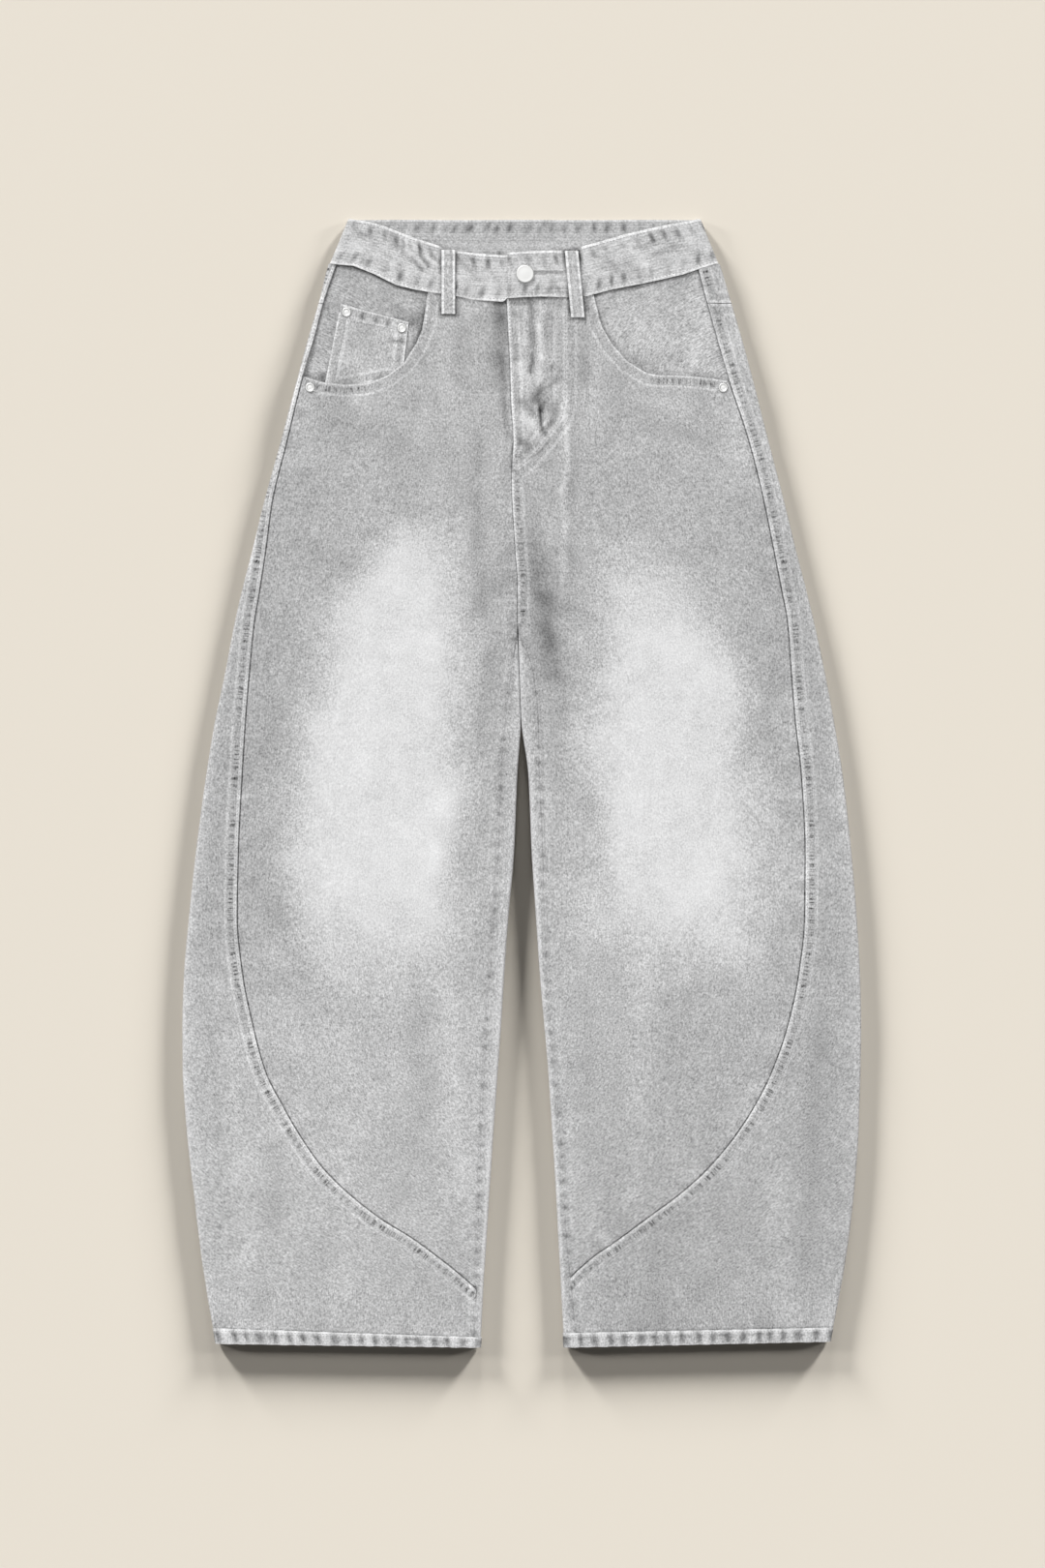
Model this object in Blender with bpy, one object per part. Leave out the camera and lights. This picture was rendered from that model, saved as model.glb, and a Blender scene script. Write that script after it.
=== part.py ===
# Balloon-leg five-pocket jeans, laid flat on a surface with the front up.
#
# The garment is described in millimetres in its own flat layout: "out" is the
# distance from the centre line to the left or right, "down" is the distance
# from the top of the waistband, and z is the height over the surface.
# The left leg is the one on the left when the garment is seen from above.
# Each cloth piece is a middle surface that a Solidify modifier makes a wall.

import math

import bmesh
import bpy

LENGTH = 1040.0
CLOTH = 1.2
BAND_CLOTH = 2.2
HEM_CLOTH = 2.4
SEAM_GAP = 0.36

UNDER_LEVEL = CLOTH / 2
TOP_LEVEL = 5.4
BAND_LEVEL = 6.2
BAND_UNDER = BAND_CLOTH / 2
OVERLAP_LEVEL = 8.7
FACING_LEVEL = 3.8
COIN_LEVEL = 5.3

CROTCH = 373.0
CROTCH_STEP = 0.6
WAIST_DEPTH = 40.8
YOKE_SIDE = 78.0
YOKE_CENTRE = 118.0

LEFT = -1
RIGHT = 1
SIDE_NAMES = {LEFT: "left", RIGHT: "right"}

# down, outline, side seam, inseam, inner edge
LEG_ROWS = {
    LEFT: (
        (0, 161.0, 155.0, 4.0, 4.0),
        (41, 178.0, 170.0, 4.0, 4.0),
        (76, 187.0, 182.0, 4.0, 4.0),
        (110, 197.0, 191.0, 4.0, 4.0),
        (151, 208.0, 203.0, 4.0, 4.0),
        (204, 222.0, 216.0, 4.0, 4.0),
        (262, 238.0, 230.0, 4.0, 4.0),
        (307, 249.0, 236.0, 4.0, 4.0),
        (340, 257.5, 241.0, 4.0, 4.0),
        (373, 265.0, 246.5, 4.0, 3.9),
        (420, 274.0, 251.0, 10.0, 2.4),
        (463, 283.0, 254.5, 15.0, 1.0),
        (512, 291.0, 257.5, 19.0, 4.0),
        (583, 300.5, 261.0, 21.5, 7.0),
        (644, 307.0, 262.0, 25.5, 12.3),
        (696, 311.5, 257.0, 29.2, 16.0),
        (741, 313.0, 248.0, 32.0, 18.7),
        (785, 312.8, 236.0, 34.4, 21.9),
        (815, 311.0, 221.0, 36.1, 24.0),
        (846, 308.5, 203.0, 37.4, 26.2),
        (874, 305.5, 183.0, 38.4, 28.0),
        (897, 302.5, 160.0, 39.1, 29.6),
        (920, 300.0, 131.0, 39.8, 31.0),
        (940, 297.5, 99.0, 40.5, 32.3),
        (960, 295.0, 72.0, 41.2, 33.6),
        (979, 292.0, 49.0, 41.8, 35.0),
        (986, 291.0, 42.0, 42.0, 35.3),
        (1040, 281.5, 44.0, 44.0, 38.0),
    ),
    RIGHT: (
        (0, 166.0, 152.0, -4.0, -4.0),
        (41, 182.5, 161.0, -4.0, -4.0),
        (76, 193.0, 170.0, -4.0, -4.0),
        (110, 203.0, 179.5, -4.0, -4.0),
        (151, 214.0, 191.5, -4.0, -4.0),
        (204, 227.5, 209.0, -4.0, -4.0),
        (262, 242.5, 223.5, -4.0, -4.0),
        (307, 253.5, 232.5, -4.0, -4.0),
        (340, 262.0, 239.0, -4.0, -4.0),
        (373, 270.0, 245.0, -2.0, -3.9),
        (420, 280.0, 248.5, 11.0, -2.4),
        (463, 288.0, 252.0, 15.5, -0.4),
        (512, 296.0, 257.5, 16.5, 6.0),
        (583, 304.0, 261.0, 19.5, 9.0),
        (644, 309.0, 260.5, 21.0, 13.0),
        (696, 312.0, 255.0, 23.2, 16.5),
        (741, 313.0, 245.5, 26.3, 20.4),
        (785, 312.5, 230.5, 30.4, 24.2),
        (815, 311.5, 215.5, 33.3, 26.2),
        (846, 310.5, 195.5, 36.1, 28.2),
        (874, 308.5, 172.0, 37.8, 30.0),
        (897, 306.5, 147.0, 39.0, 31.4),
        (920, 304.0, 116.0, 40.3, 32.6),
        (940, 301.5, 89.0, 41.5, 33.6),
        (960, 298.5, 61.0, 43.2, 34.7),
        (978, 295.5, 45.2, 45.2, 35.7),
        (1040, 283.5, 51.0, 51.0, 39.0),
    ),
}
OUTLINE, SIDE_SEAM, INSEAM, INNER_EDGE = 1, 2, 3, 4
SEAM_END = {LEFT: 984.0, RIGHT: 975.0}

# down, x of the fly's edge and then of the centre-front seam
CENTRE_ROWS = (
    (60, -14.5), (96, -13.0), (136, -11.0), (167, -10.0), (204, -8.0),
    (237, -9.5), (307, -6.0), (336, -4.0), (373, -4.0),
)

# down at the outer end and at the inner end of each hem's upper and lower edge
HEM_EDGES = {LEFT: ((1022.5, 1031.0), (1036.0, 1039.5)), RIGHT: ((1022.0, 1027.0), (1034.0, 1039.5))}
HEM_LUMPS = 18
HEM_LUMP_HEIGHT = 0.8

# x and down of the waistband's top edge, then of its bottom edge
BAND_LEFT_ROWS = (
    (-17.0, 33.5, -17.0, 75.6), (-36.0, 32.5, -43.0, 74.0), (-58.0, 30.0, -61.0, 70.5),
    (-73.0, 26.0, -78.0, 68.0), (-95.0, 19.0, -100.0, 64.0), (-110.0, 13.5, -116.0, 60.0),
    (-125.0, 7.5, -137.0, 49.5), (-140.0, 3.0, -155.0, 42.5), (-156.5, 0.5, -173.5, WAIST_DEPTH),
)
UNDERLAP_ROWS = ((20.0, 31.5, 20.0, 70.5), (-12.0, 33.0, -12.0, 70.8))
BAND_RIGHT_ROWS = (
    (161.5, 0.5, 178.0, WAIST_DEPTH), (153.0, 2.5, 166.0, 44.5), (140.0, 4.5, 148.0, 50.5),
    (116.0, 9.5, 124.0, 56.0), (93.0, 15.0, 108.0, 59.5), (76.0, 20.0, 84.0, 64.0),
    (54.0, 26.0, 59.0, 70.5), (36.0, 29.5, 43.0, 71.5), (18.0, 30.0, 18.0, 71.0),
    (3.0, 30.5, 3.0, 71.5), (-13.0, 31.5, -13.0, 72.5),
)
BAND_GAP = 0.6
BAND_FOOT = 75.0
BAND_PUCKER = 15.0
BAND_PUCKER_HEIGHT = 0.4

# x and down along each pocket mouth, from the side seam to the waistband
MOUTH_ROWS = {
    LEFT: ((-203.0, 145.0), (-184.0, 150.5), (-162.0, 153.0), (-142.0, 151.5), (-125.0, 145.0),
           (-108.0, 132.0), (-96.0, 113.0), (-89.0, 94.0), (-86.5, 68.0)),
    RIGHT: ((191.0, 149.5), (164.0, 145.5), (140.0, 144.0), (126.0, 144.0), (115.0, 142.0),
            (97.0, 131.0), (83.0, 115.0), (73.0, 98.0), (66.0, 71.0)),
}
FACING_TUCK = 16.0
FACING_RISE = {LEFT: 1.5, RIGHT: 0.5}

COIN_CORNERS = ((-167.0, 78.0), (-104.0, 95.0), (-110.0, 146.0), (-183.0, 160.0))
RIVET_PLACES = {
    "rivet_coin_outer": (-161.5, 86.0, COIN_LEVEL),
    "rivet_coin_inner": (-110.5, 100.5, COIN_LEVEL),
    "rivet_pocket_left": (-195.0, 155.5, None),
    "rivet_pocket_right": (185.5, 155.5, None),
}
RIVET_RADIUS = 4.4

BUTTON_PLACE = (3.0, 51.5)
BUTTON_RADIUS = 8.3

# x and down at the top and at the foot of each front belt loop
FRONT_LOOPS = {LEFT: ((-67.5, 29.0), (-67.5, 88.0)), RIGHT: ((45.8, 30.0), (51.8, 91.0))}
LOOP_WIDTH = 12.5
LOOP_CLOTH = 1.6
BACK_LOOP_CLOTH = 1.0
BACK_LOOPS = {"left": -112.0, "centre": -2.0, "right": 116.0}
BACK_LOOP_ENDS = (1.5, 54.0)

# Out and down of a back pocket's corners, from its upper inner corner round
POCKET_CORNERS = ((36.0, 132.0), (166.0, 126.0), (160.0, 262.0), (100.0, 284.0), (42.0, 266.0))
POCKET_CLOTH = 1.1
UNDER_LIFT = 1.6
LIFT_FLAT = 4.0
LIFT_RAMP = 30.0

# Soft folds of the upper layer: x and down of each end, width, height
FOLDS = (
    (-24, 64, -12, 200, 8, -2.0),
    (-39, 175, -39, 405, 13, -1.1),
    (19, 318, 24, 418, 12, -1.9),
    (21, 178, 22, 184, 13, -1.0),
    (51, 150, 52, 285, 10, -0.8),
    (56, 290, 58, 420, 14, 1.1),
    (38, 240, 42, 360, 9, 0.8),
    (5, 240, 5, 268, 13, -0.7),
    (-95, 205, -60, 245, 22, -0.7),
    (-120, 330, -118, 640, 60, 0.9),
    (130, 350, 150, 640, 60, 0.9),
    (75, 640, 85, 800, 26, -0.7),
    (150, 660, 165, 800, 24, -0.6),
    (-215, 690, -150, 850, 30, 0.6),
    (205, 720, 140, 860, 26, 0.6),
    (-90, 760, -120, 950, 30, -0.5),
    (210, 870, 180, 1000, 26, -0.5),
)
SEAM_RIDGE = 0.9
RIDGE_WIDTH = 9.0
RIDGE_FADE = 3.0
FLY_RISE = 0.8
FLY_STITCH = 38.0
FLY_FOOT = 215.0
LAYER_CLEARANCE = 1.8

DENIM_COLOUR = (0.46, 0.46, 0.47, 1.0)
METAL_COLOUR = (0.72, 0.72, 0.71, 1.0)


# Small helpers for numbers and curves

def mix(a, b, t):
    return a + (b - a) * t


def smooth_step(t):
    t = min(1.0, max(0.0, t))
    return t * t * (3.0 - 2.0 * t)


def along(rows, key_column, key, column):
    """Read a column of a table at a key, on a smooth curve through its rows."""
    keys = [row[key_column] for row in rows]
    if keys[0] > keys[-1]:
        rows = rows[::-1]
        keys = keys[::-1]
    key = min(keys[-1], max(keys[0], key))
    i = max(0, min(len(rows) - 2, sum(1 for k in keys if k <= key) - 1))
    values = [row[column] for row in rows]
    span = keys[i + 1] - keys[i]
    slope = (values[i + 1] - values[i]) / span

    def slope_at(j):
        if j == 0 or j == len(rows) - 1:
            return slope
        before = (values[j] - values[j - 1]) / (keys[j] - keys[j - 1])
        after = (values[j + 1] - values[j]) / (keys[j + 1] - keys[j])
        return 0.0 if before * after <= 0 else 2.0 * before * after / (before + after)

    t = (key - keys[i]) / span
    start_pull = slope_at(i) * span
    end_pull = slope_at(i + 1) * span
    return (
        values[i] * (1 - 3 * t * t + 2 * t ** 3)
        + values[i + 1] * (3 * t * t - 2 * t ** 3)
        + start_pull * (t - 2 * t * t + t ** 3)
        + end_pull * (t ** 3 - t * t)
    )


def evenly(points, count):
    """Place count + 1 points at even steps along a line of points."""
    lengths = [0.0]
    for a, b in zip(points, points[1:]):
        lengths.append(lengths[-1] + math.dist(a, b))
    result = []
    i = 0
    for step in range(count + 1):
        target = lengths[-1] * step / count
        while i < len(points) - 2 and lengths[i + 1] < target:
            i += 1
        t = (target - lengths[i]) / (lengths[i + 1] - lengths[i])
        result.append(tuple(mix(a, b, t) for a, b in zip(points[i], points[i + 1])))
    return result


def distance_to_line(x, down, ax, ad, bx, bd):
    """Give the distance from a point to a line's nearest point."""
    dx, dd = bx - ax, bd - ad
    t = ((x - ax) * dx + (down - ad) * dd) / (dx * dx + dd * dd)
    t = min(1.0, max(0.0, t))
    return math.hypot(x - ax - t * dx, down - ad - t * dd)


# The leg's outlines and seams

def leg(side, column, down):
    return along(LEG_ROWS[side], 0, down, column)


def centre_x(down):
    """Give the x of the fly's edge, the centre seam and the line between the legs."""
    if down <= CROTCH:
        return along(CENTRE_ROWS, 0, down, 1)
    return mix(-3.9, -0.7, min(1.0, (down - CROTCH) / 90.0))


def edge_radius():
    return (TOP_LEVEL - UNDER_LEVEL) / 2


def inner_edge(side, down):
    """Give the out of the leg's inner fold, clear of the other leg."""
    own = leg(side, INNER_EDGE, down)
    return max(own, side * centre_x(down) + SEAM_GAP / 2) + CLOTH / 2


def inseam(side, down):
    return max(leg(side, INSEAM, down), inner_edge(side, down) + edge_radius() + 0.8)


def seam_slope(side, down):
    step = 2.0
    return (leg(side, SIDE_SEAM, down + step) - leg(side, SIDE_SEAM, down - step)) / (2 * step)


def seam_half_gap(side, down):
    return SEAM_GAP / 2 * math.sqrt(1.0 + seam_slope(side, down) ** 2)


def side_seam(side, down):
    """Give the out of the side seam, which meets the inseam near the hem."""
    if down >= SEAM_END[side]:
        return inseam(side, down)
    return max(leg(side, SIDE_SEAM, down), inseam(side, down))


def hem_edge(side, which, out):
    outer, inner = HEM_EDGES[side][which]
    return mix(inner, outer, min(1.0, max(0.0, (out - 40.0) / 245.0)))


# Heights of the two layers

def box_distance(x, down, low_x, high_x, low_down, high_down):
    dx = max(low_x - x, 0.0, x - high_x)
    dd = max(low_down - down, 0.0, down - high_down)
    return math.hypot(dx, dd)


def lift_boxes():
    """List the places on the underside where a pocket or a loop lies beneath."""
    outs = [corner[0] for corner in POCKET_CORNERS]
    downs = [corner[1] for corner in POCKET_CORNERS]
    boxes = []
    for side in (LEFT, RIGHT):
        ends = sorted((side * min(outs), side * max(outs)))
        boxes.append((ends[0], ends[1], min(downs), max(downs)))
    for x in BACK_LOOPS.values():
        boxes.append((x - LOOP_WIDTH / 2, x + LOOP_WIDTH / 2, *BACK_LOOP_ENDS))
    return boxes


LIFT_BOXES = lift_boxes()


def under_rise(x, down):
    """Give how far the lower layer is lifted by what is sewn on its outside."""
    gap = min(box_distance(x, down, *box) for box in LIFT_BOXES)
    return UNDER_LIFT * (1.0 - smooth_step((gap - LIFT_FLAT) / LIFT_RAMP))


def under_height(x, down):
    return UNDER_LEVEL + under_rise(x, down)


def mouth_rise(x, down):
    """Give the rise of the upper layer over a pocket's facing."""
    side = RIGHT if x > 0 else LEFT
    near = min(
        distance_to_line(x, down, *a, *b)
        for a, b in zip(MOUTH_ROWS[side], MOUTH_ROWS[side][1:])
    )
    return FACING_RISE[side] * (1.0 - smooth_step((near - FACING_TUCK - 4.0) / 30.0))


def fly_rise(x, down):
    """Give the rise of the doubled cloth between the fly's edge and its stitches."""
    foot = FLY_FOOT - 0.02 * max(0.0, x) ** 2
    beyond = max(x - FLY_STITCH, down - foot)
    return FLY_RISE * (1.0 - smooth_step(beyond / 6.0))


def fold_height(x, down):
    total = 0.0
    for ax, ad, bx, bd, width, height in FOLDS:
        gap = distance_to_line(x, down, ax, ad, bx, bd)
        total += height * math.exp(-((gap / width) ** 2))
    return total


def top_height(x, down):
    height = TOP_LEVEL + fold_height(x, down) + mouth_rise(x, down)
    if x > centre_x(down):
        height += fly_rise(x, down)
    return max(height, under_height(x, down) + LAYER_CLEARANCE)


def ridge_height(side, out, down):
    """Give the rise of the thick, roped strip beside the side seam."""
    beyond = (out - side_seam(side, down)) / math.sqrt(1.0 + seam_slope(side, down) ** 2)
    fade = 1.0 - smooth_step((down - SEAM_END[side]) / 12.0)
    return SEAM_RIDGE * fade * (1.0 - smooth_step((beyond - RIDGE_WIDTH) / RIDGE_FADE))


# Mesh building

def to_world(x, down, z):
    return (x / 1000.0, (LENGTH / 2 - down) / 1000.0, z / 1000.0)


def material(name, colour, roughness, metallic):
    made = bpy.data.materials.new(name)
    made.use_nodes = True
    shader = made.node_tree.nodes["Principled BSDF"]
    shader.inputs["Base Color"].default_value = colour
    shader.inputs["Roughness"].default_value = roughness
    shader.inputs["Metallic"].default_value = metallic
    return made


def denim(name):
    return material(name + "_denim", DENIM_COLOUR, 0.9, 0.0)


def metal(name):
    return material(name + "_metal", METAL_COLOUR, 0.35, 1.0)


def add_object(name, points, faces, finish):
    mesh = bpy.data.meshes.new(name)
    mesh.from_pydata([to_world(*point) for point in points], [], faces)
    mesh.materials.append(finish)
    made = bpy.data.objects.new(name, mesh)
    bpy.context.collection.objects.link(made)
    mesh.shade_smooth()
    return made


def turn_outwards(made, upwards):
    """Make a sheet's faces agree, with the face at the highest point upwards."""
    work = bmesh.new()
    work.from_mesh(made.data)
    bmesh.ops.recalc_face_normals(work, faces=work.faces)
    highest = max(work.faces, key=lambda face: face.calc_center_median().z * upwards)
    if highest.normal.z * upwards < 0:
        bmesh.ops.reverse_faces(work, faces=work.faces)
    work.to_mesh(made.data)
    work.free()


def thicken(made, thickness):
    wall = made.modifiers.new("wall", "SOLIDIFY")
    wall.thickness = thickness / 1000.0
    wall.offset = 0.0


def add_sheet(name, grid, thickness):
    """Make a cloth piece from rows of points, where None leaves a place out."""
    numbers = {}
    points = []
    for r, row in enumerate(grid):
        for c, point in enumerate(row):
            if point is not None:
                numbers[r, c] = len(points)
                points.append(point)
    faces = []
    for r in range(len(grid) - 1):
        for c in range(len(grid[r]) - 1):
            corners = [(r, c), (r, c + 1), (r + 1, c + 1), (r + 1, c)]
            if all(corner in numbers for corner in corners):
                faces.append([numbers[corner] for corner in corners])
    made = add_object(name, points, faces, denim(name))
    turn_outwards(made, 1)
    thicken(made, thickness)
    return made


def add_slab(name, outline, level, thickness):
    """Make a flat cloth piece from the corners of its outline."""
    points = [(x, down, level) for x, down in outline]
    made = add_object(name, points, [list(range(len(points)))], denim(name))
    work = bmesh.new()
    work.from_mesh(made.data)
    bmesh.ops.triangulate(work, faces=work.faces)
    work.to_mesh(made.data)
    work.free()
    turn_outwards(made, 1)
    thicken(made, thickness)
    return made


# Back panels and yokes: cloth that wraps from the front, round, to the underside

STRIP_STEPS = (0.0, 0.2, 0.3, 0.44, 0.58, 0.72, 0.86)
ARC_STEPS = (1.0, 1.25, 1.5, 1.75)
UNDER_CELLS = 9
LEG_ROW_COUNT = 22
INNER_ARC_STEPS = (3.0, 3.25, 3.5, 3.75)
INNER_TOP_STEPS = (4.0, 4.5, 5.0)


def strip_out(side, share, down):
    """Place a point of the upper strip between the side seam and the outer fold."""
    start = side_seam(side, down) + seam_half_gap(side, down)
    end = leg(side, OUTLINE, down) - CLOTH / 2 - edge_radius()
    end = max(end, start + 1.0)
    stretch = math.sqrt(1.0 + seam_slope(side, down) ** 2)
    first = min(RIDGE_WIDTH * stretch, 0.35 * (end - start))
    second = min((RIDGE_WIDTH + RIDGE_FADE) * stretch, 0.5 * (end - start))
    if share <= 0.2:
        return start + first * share / 0.2
    if share <= 0.3:
        return start + mix(first, second, (share - 0.2) / 0.1)
    return start + mix(second, end - start, (share - 0.3) / 0.7)


def wrapped_point(side, place, down, below_crotch):
    """Give a point of the cloth that wraps round a leg.

    The place runs from 0 at the side seam over the outer fold, from 1 to 2,
    along the underside to 3, round the inner fold to 4 and up to the inseam at 5.
    """
    radius = edge_radius()
    outer = leg(side, OUTLINE, down) - CLOTH / 2
    inner = inner_edge(side, down)
    if below_crotch:
        under_end = inner + radius
    else:
        under_end = side * along(CENTRE_ROWS, 0, CROTCH, 1) + SEAM_GAP / 2
    if place <= 1.0:
        out = strip_out(side, place, down)
        height = top_height(side * out, down) + ridge_height(side, out, down)
        return (side * out, down, height)
    if place < 2.0 or 3.0 < place < 4.0:
        on_outer = place < 2.0
        angle = math.pi * ((place - 1.0) if on_outer else (4.0 - place))
        base = outer - radius if on_outer else inner + radius
        reach = radius * math.sin(angle)
        out = base + reach if on_outer else base - reach
        upper = top_height(side * base, down)
        if on_outer:
            upper += ridge_height(side, base, down)
        lower = under_height(side * base, down)
        return (side * out, down, mix(lower, upper, (1.0 + math.cos(angle)) / 2))
    if place <= 3.0:
        out = mix(outer - radius, under_end, place - 2.0)
        return (side * out, down, under_height(side * out, down))
    out = mix(inner + radius, inseam(side, down) - SEAM_GAP / 2, place - 4.0)
    return (side * out, down, top_height(side * out, down))


def yoke_seam(place):
    """Give the down of the yoke's seam, which dips to the centre of the back."""
    return mix(YOKE_SIDE, YOKE_CENTRE, min(1.0, max(0.0, place - 2.0)))


def yoke_top(side, place):
    """Give the down of the yoke's upper edge, below the waistband's front and then its back."""
    on_top = side * strip_out(side, min(1.0, place), WAIST_DEPTH)
    share = smooth_step(place - 1.0)
    return mix(band_bottom(side, on_top), WAIST_DEPTH, share) + BAND_GAP


def back_places():
    under = [2.0 + i / UNDER_CELLS for i in range(UNDER_CELLS)]
    return list(STRIP_STEPS + ARC_STEPS) + under, list(INNER_ARC_STEPS + INNER_TOP_STEPS)


def make_yoke(side):
    outer_places, _ = back_places()
    outer_places.append(3.0)
    grid = []
    row_count = 3
    for r in range(row_count + 1):
        row = []
        for place in outer_places:
            down = mix(yoke_top(side, place), yoke_seam(place) - SEAM_GAP / 2, r / row_count)
            row.append(wrapped_point(side, place, down, False))
        grid.append(row)
    add_sheet("yoke_" + SIDE_NAMES[side], grid, CLOTH)


def front_end(side):
    """Give the down where the side seam has almost met the inseam."""
    down = SEAM_END[side]
    while side_seam(side, down) - inseam(side, down) < 4.0:
        down -= 0.5
    return down


def leg_rows(side):
    """Give downs at even steps along the side seam, from the crotch to the front's end."""
    line = []
    down = CROTCH + CROTCH_STEP + 0.2
    end = front_end(side)
    while down < end:
        line.append((side_seam(side, down), down))
        down += 2.0
    line.append((side_seam(side, end), end))
    return [point[1] for point in evenly(line, LEG_ROW_COUNT)]


def make_back(side):
    outer_places, inner_places = back_places()
    grid = []
    upper_rows = 9
    crotch_row = CROTCH + CROTCH_STEP + 0.2
    for r in range(upper_rows):
        row = []
        for place in outer_places + [3.0]:
            down = mix(yoke_seam(place) + SEAM_GAP / 2, crotch_row, r / upper_rows)
            row.append(wrapped_point(side, place, down, False))
        grid.append(row + [None] * (len(inner_places) - 1))
    lower_rows = leg_rows(side) + [SEAM_END[side]]
    for down in lower_rows:
        row = []
        for place in outer_places + inner_places:
            row.append(wrapped_point(side, place, down, True))
        grid.append(row)
    last = lower_rows[-1]
    for share in (0.5, 1.0):
        row = []
        for place in outer_places + inner_places:
            out = side * wrapped_point(side, place, last, True)[0]
            down = mix(last, hem_edge(side, 0, out) - SEAM_GAP, share)
            row.append(wrapped_point(side, place, down, True))
        grid.append(row)
    add_sheet("back_" + SIDE_NAMES[side], grid, CLOTH)


# Front panels, cut away along the pocket mouths

FRONT_COLUMNS = 11
MOUTH_COLUMNS = 6
BLOCK_FOOT = 240.0


def band_rows(side):
    return BAND_LEFT_ROWS if side == LEFT else BAND_RIGHT_ROWS


def band_bottom(side, x):
    """Give the down of the front waistband's lower edge."""
    rows = sorted(band_rows(side), key=lambda row: row[2])
    for a, b in zip(rows, rows[1:]):
        if x <= b[2]:
            return mix(a[3], b[3], max(0.0, (x - a[2]) / (b[2] - a[2])))
    return rows[-1][3]


def mouth_line(side):
    """Give the pocket mouth from the side seam to the seam of the waistband."""
    points = list(MOUTH_ROWS[side])
    start_down = points[0][1]
    out = side_seam(side, start_down) - seam_half_gap(side, start_down)
    points[0] = (side * out, start_down)
    end_x = points[-1][0]
    points[-1] = (end_x, band_bottom(side, end_x) + BAND_GAP)
    return points


def front_top(side):
    """Give the panel's upper boundary, along the mouth and then the waistband."""
    mouth = evenly(mouth_line(side), MOUTH_COLUMNS)
    count = FRONT_COLUMNS - MOUTH_COLUMNS
    start_x = mouth[-1][0]
    end_down = band_bottom(side, centre_x(BAND_FOOT)) + BAND_GAP
    end_x = centre_x(end_down) + side * SEAM_GAP / 2
    line = []
    for i in range(1, count + 1):
        x = mix(start_x, end_x, i / count)
        line.append((x, band_bottom(side, x) + BAND_GAP))
    return mouth + line


def front_row(side, down):
    """Give the panel's points across the leg, from the side seam inwards."""
    start = side * (side_seam(side, down) - seam_half_gap(side, down))
    if down <= CROTCH:
        end = centre_x(down) + side * SEAM_GAP / 2
    else:
        end = side * (inseam(side, down) + SEAM_GAP / 2)
    return [(mix(start, end, c / FRONT_COLUMNS), down) for c in range(FRONT_COLUMNS + 1)]


def front_block(side, row_count):
    """Blend from the curved upper boundary to a straight row below the pocket."""
    top = front_top(side)
    foot = front_row(side, BLOCK_FOOT)
    rows = []
    for r in range(row_count):
        v = r / row_count
        first_down = mix(top[0][1], BLOCK_FOOT, v)
        last_down = mix(top[-1][1], BLOCK_FOOT, v)
        first = front_row(side, first_down)[0]
        last = front_row(side, last_down)[-1]
        row = []
        for c in range(FRONT_COLUMNS + 1):
            u = c / FRONT_COLUMNS
            x = mix(top[c][0], foot[c][0], v)
            x += (1 - u) * (first[0] - mix(top[0][0], foot[0][0], v))
            x += u * (last[0] - mix(top[-1][0], foot[-1][0], v))
            row.append((x, mix(top[c][1], foot[c][1], v)))
        rows.append(row)
    return rows


def make_front(side):
    rows = front_block(side, 7)
    hip_rows = 5
    for r in range(hip_rows + 1):
        rows.append(front_row(side, mix(BLOCK_FOOT, CROTCH - CROTCH_STEP, r / hip_rows)))
    rows.append(front_row(side, CROTCH + CROTCH_STEP - 0.2))
    for down in leg_rows(side)[1:]:
        rows.append(front_row(side, down))
    grid = [[(x, down, top_height(x, down)) for x, down in row] for row in rows]
    add_sheet("front_" + SIDE_NAMES[side], grid, CLOTH)


# Pocket facings, coin pocket and back pockets

def make_facing(side):
    """Make the cloth that shows in a front pocket's mouth."""
    mouth = evenly(mouth_line(side), 8)
    tucked = []
    for i, (x, down) in enumerate(mouth):
        a = mouth[max(0, i - 1)]
        b = mouth[min(len(mouth) - 1, i + 1)]
        length = math.dist(a, b)
        normal_x = -(b[1] - a[1]) / length
        normal_down = (b[0] - a[0]) / length
        if normal_down * 1.0 + side * -normal_x < 0:
            normal_x, normal_down = -normal_x, -normal_down
        tucked.append((x + FACING_TUCK * normal_x, down + FACING_TUCK * normal_down))
    foot_down = tucked[0][1]
    tucked[0] = (side * (side_seam(side, foot_down) + 0.6), foot_down)
    end_x = tucked[-1][0]
    tucked[-1] = (end_x, band_bottom(side, end_x) + 1.5)
    outline = list(tucked)
    for i in range(1, 6):
        x = mix(end_x, side * (side_seam(side, 46.0) + 0.6), i / 5)
        outline.append((x, band_bottom(side, x) + 0.8))
    for i in range(1, 4):
        down = mix(46.0, foot_down, i / 4)
        outline.append((side * (side_seam(side, down) + 0.6), down))
    add_slab("pocket_facing_" + SIDE_NAMES[side], outline, FACING_LEVEL, CLOTH)


def make_coin_pocket():
    add_slab("coin_pocket", COIN_CORNERS, COIN_LEVEL, CLOTH)


def make_back_pocket(side):
    corners = [(side * out, down) for out, down in POCKET_CORNERS]
    add_slab("back_pocket_" + SIDE_NAMES[side], corners, POCKET_CLOTH / 2, POCKET_CLOTH)


# Waistband: one strip round the waist whose right end lies over its left end

BAND_FRONT_STEPS = 36
BAND_BACK_STEPS = 13
BAND_ARC_STEPS = 4
BAND_ROWS = 3


def band_level(x, is_right_end):
    """Give the waistband's height on the front, stepped up where its ends overlap."""
    if not is_right_end:
        return BAND_LEVEL
    return mix(OVERLAP_LEVEL, BAND_LEVEL, smooth_step((x - 22.0) / 14.0))


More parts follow.
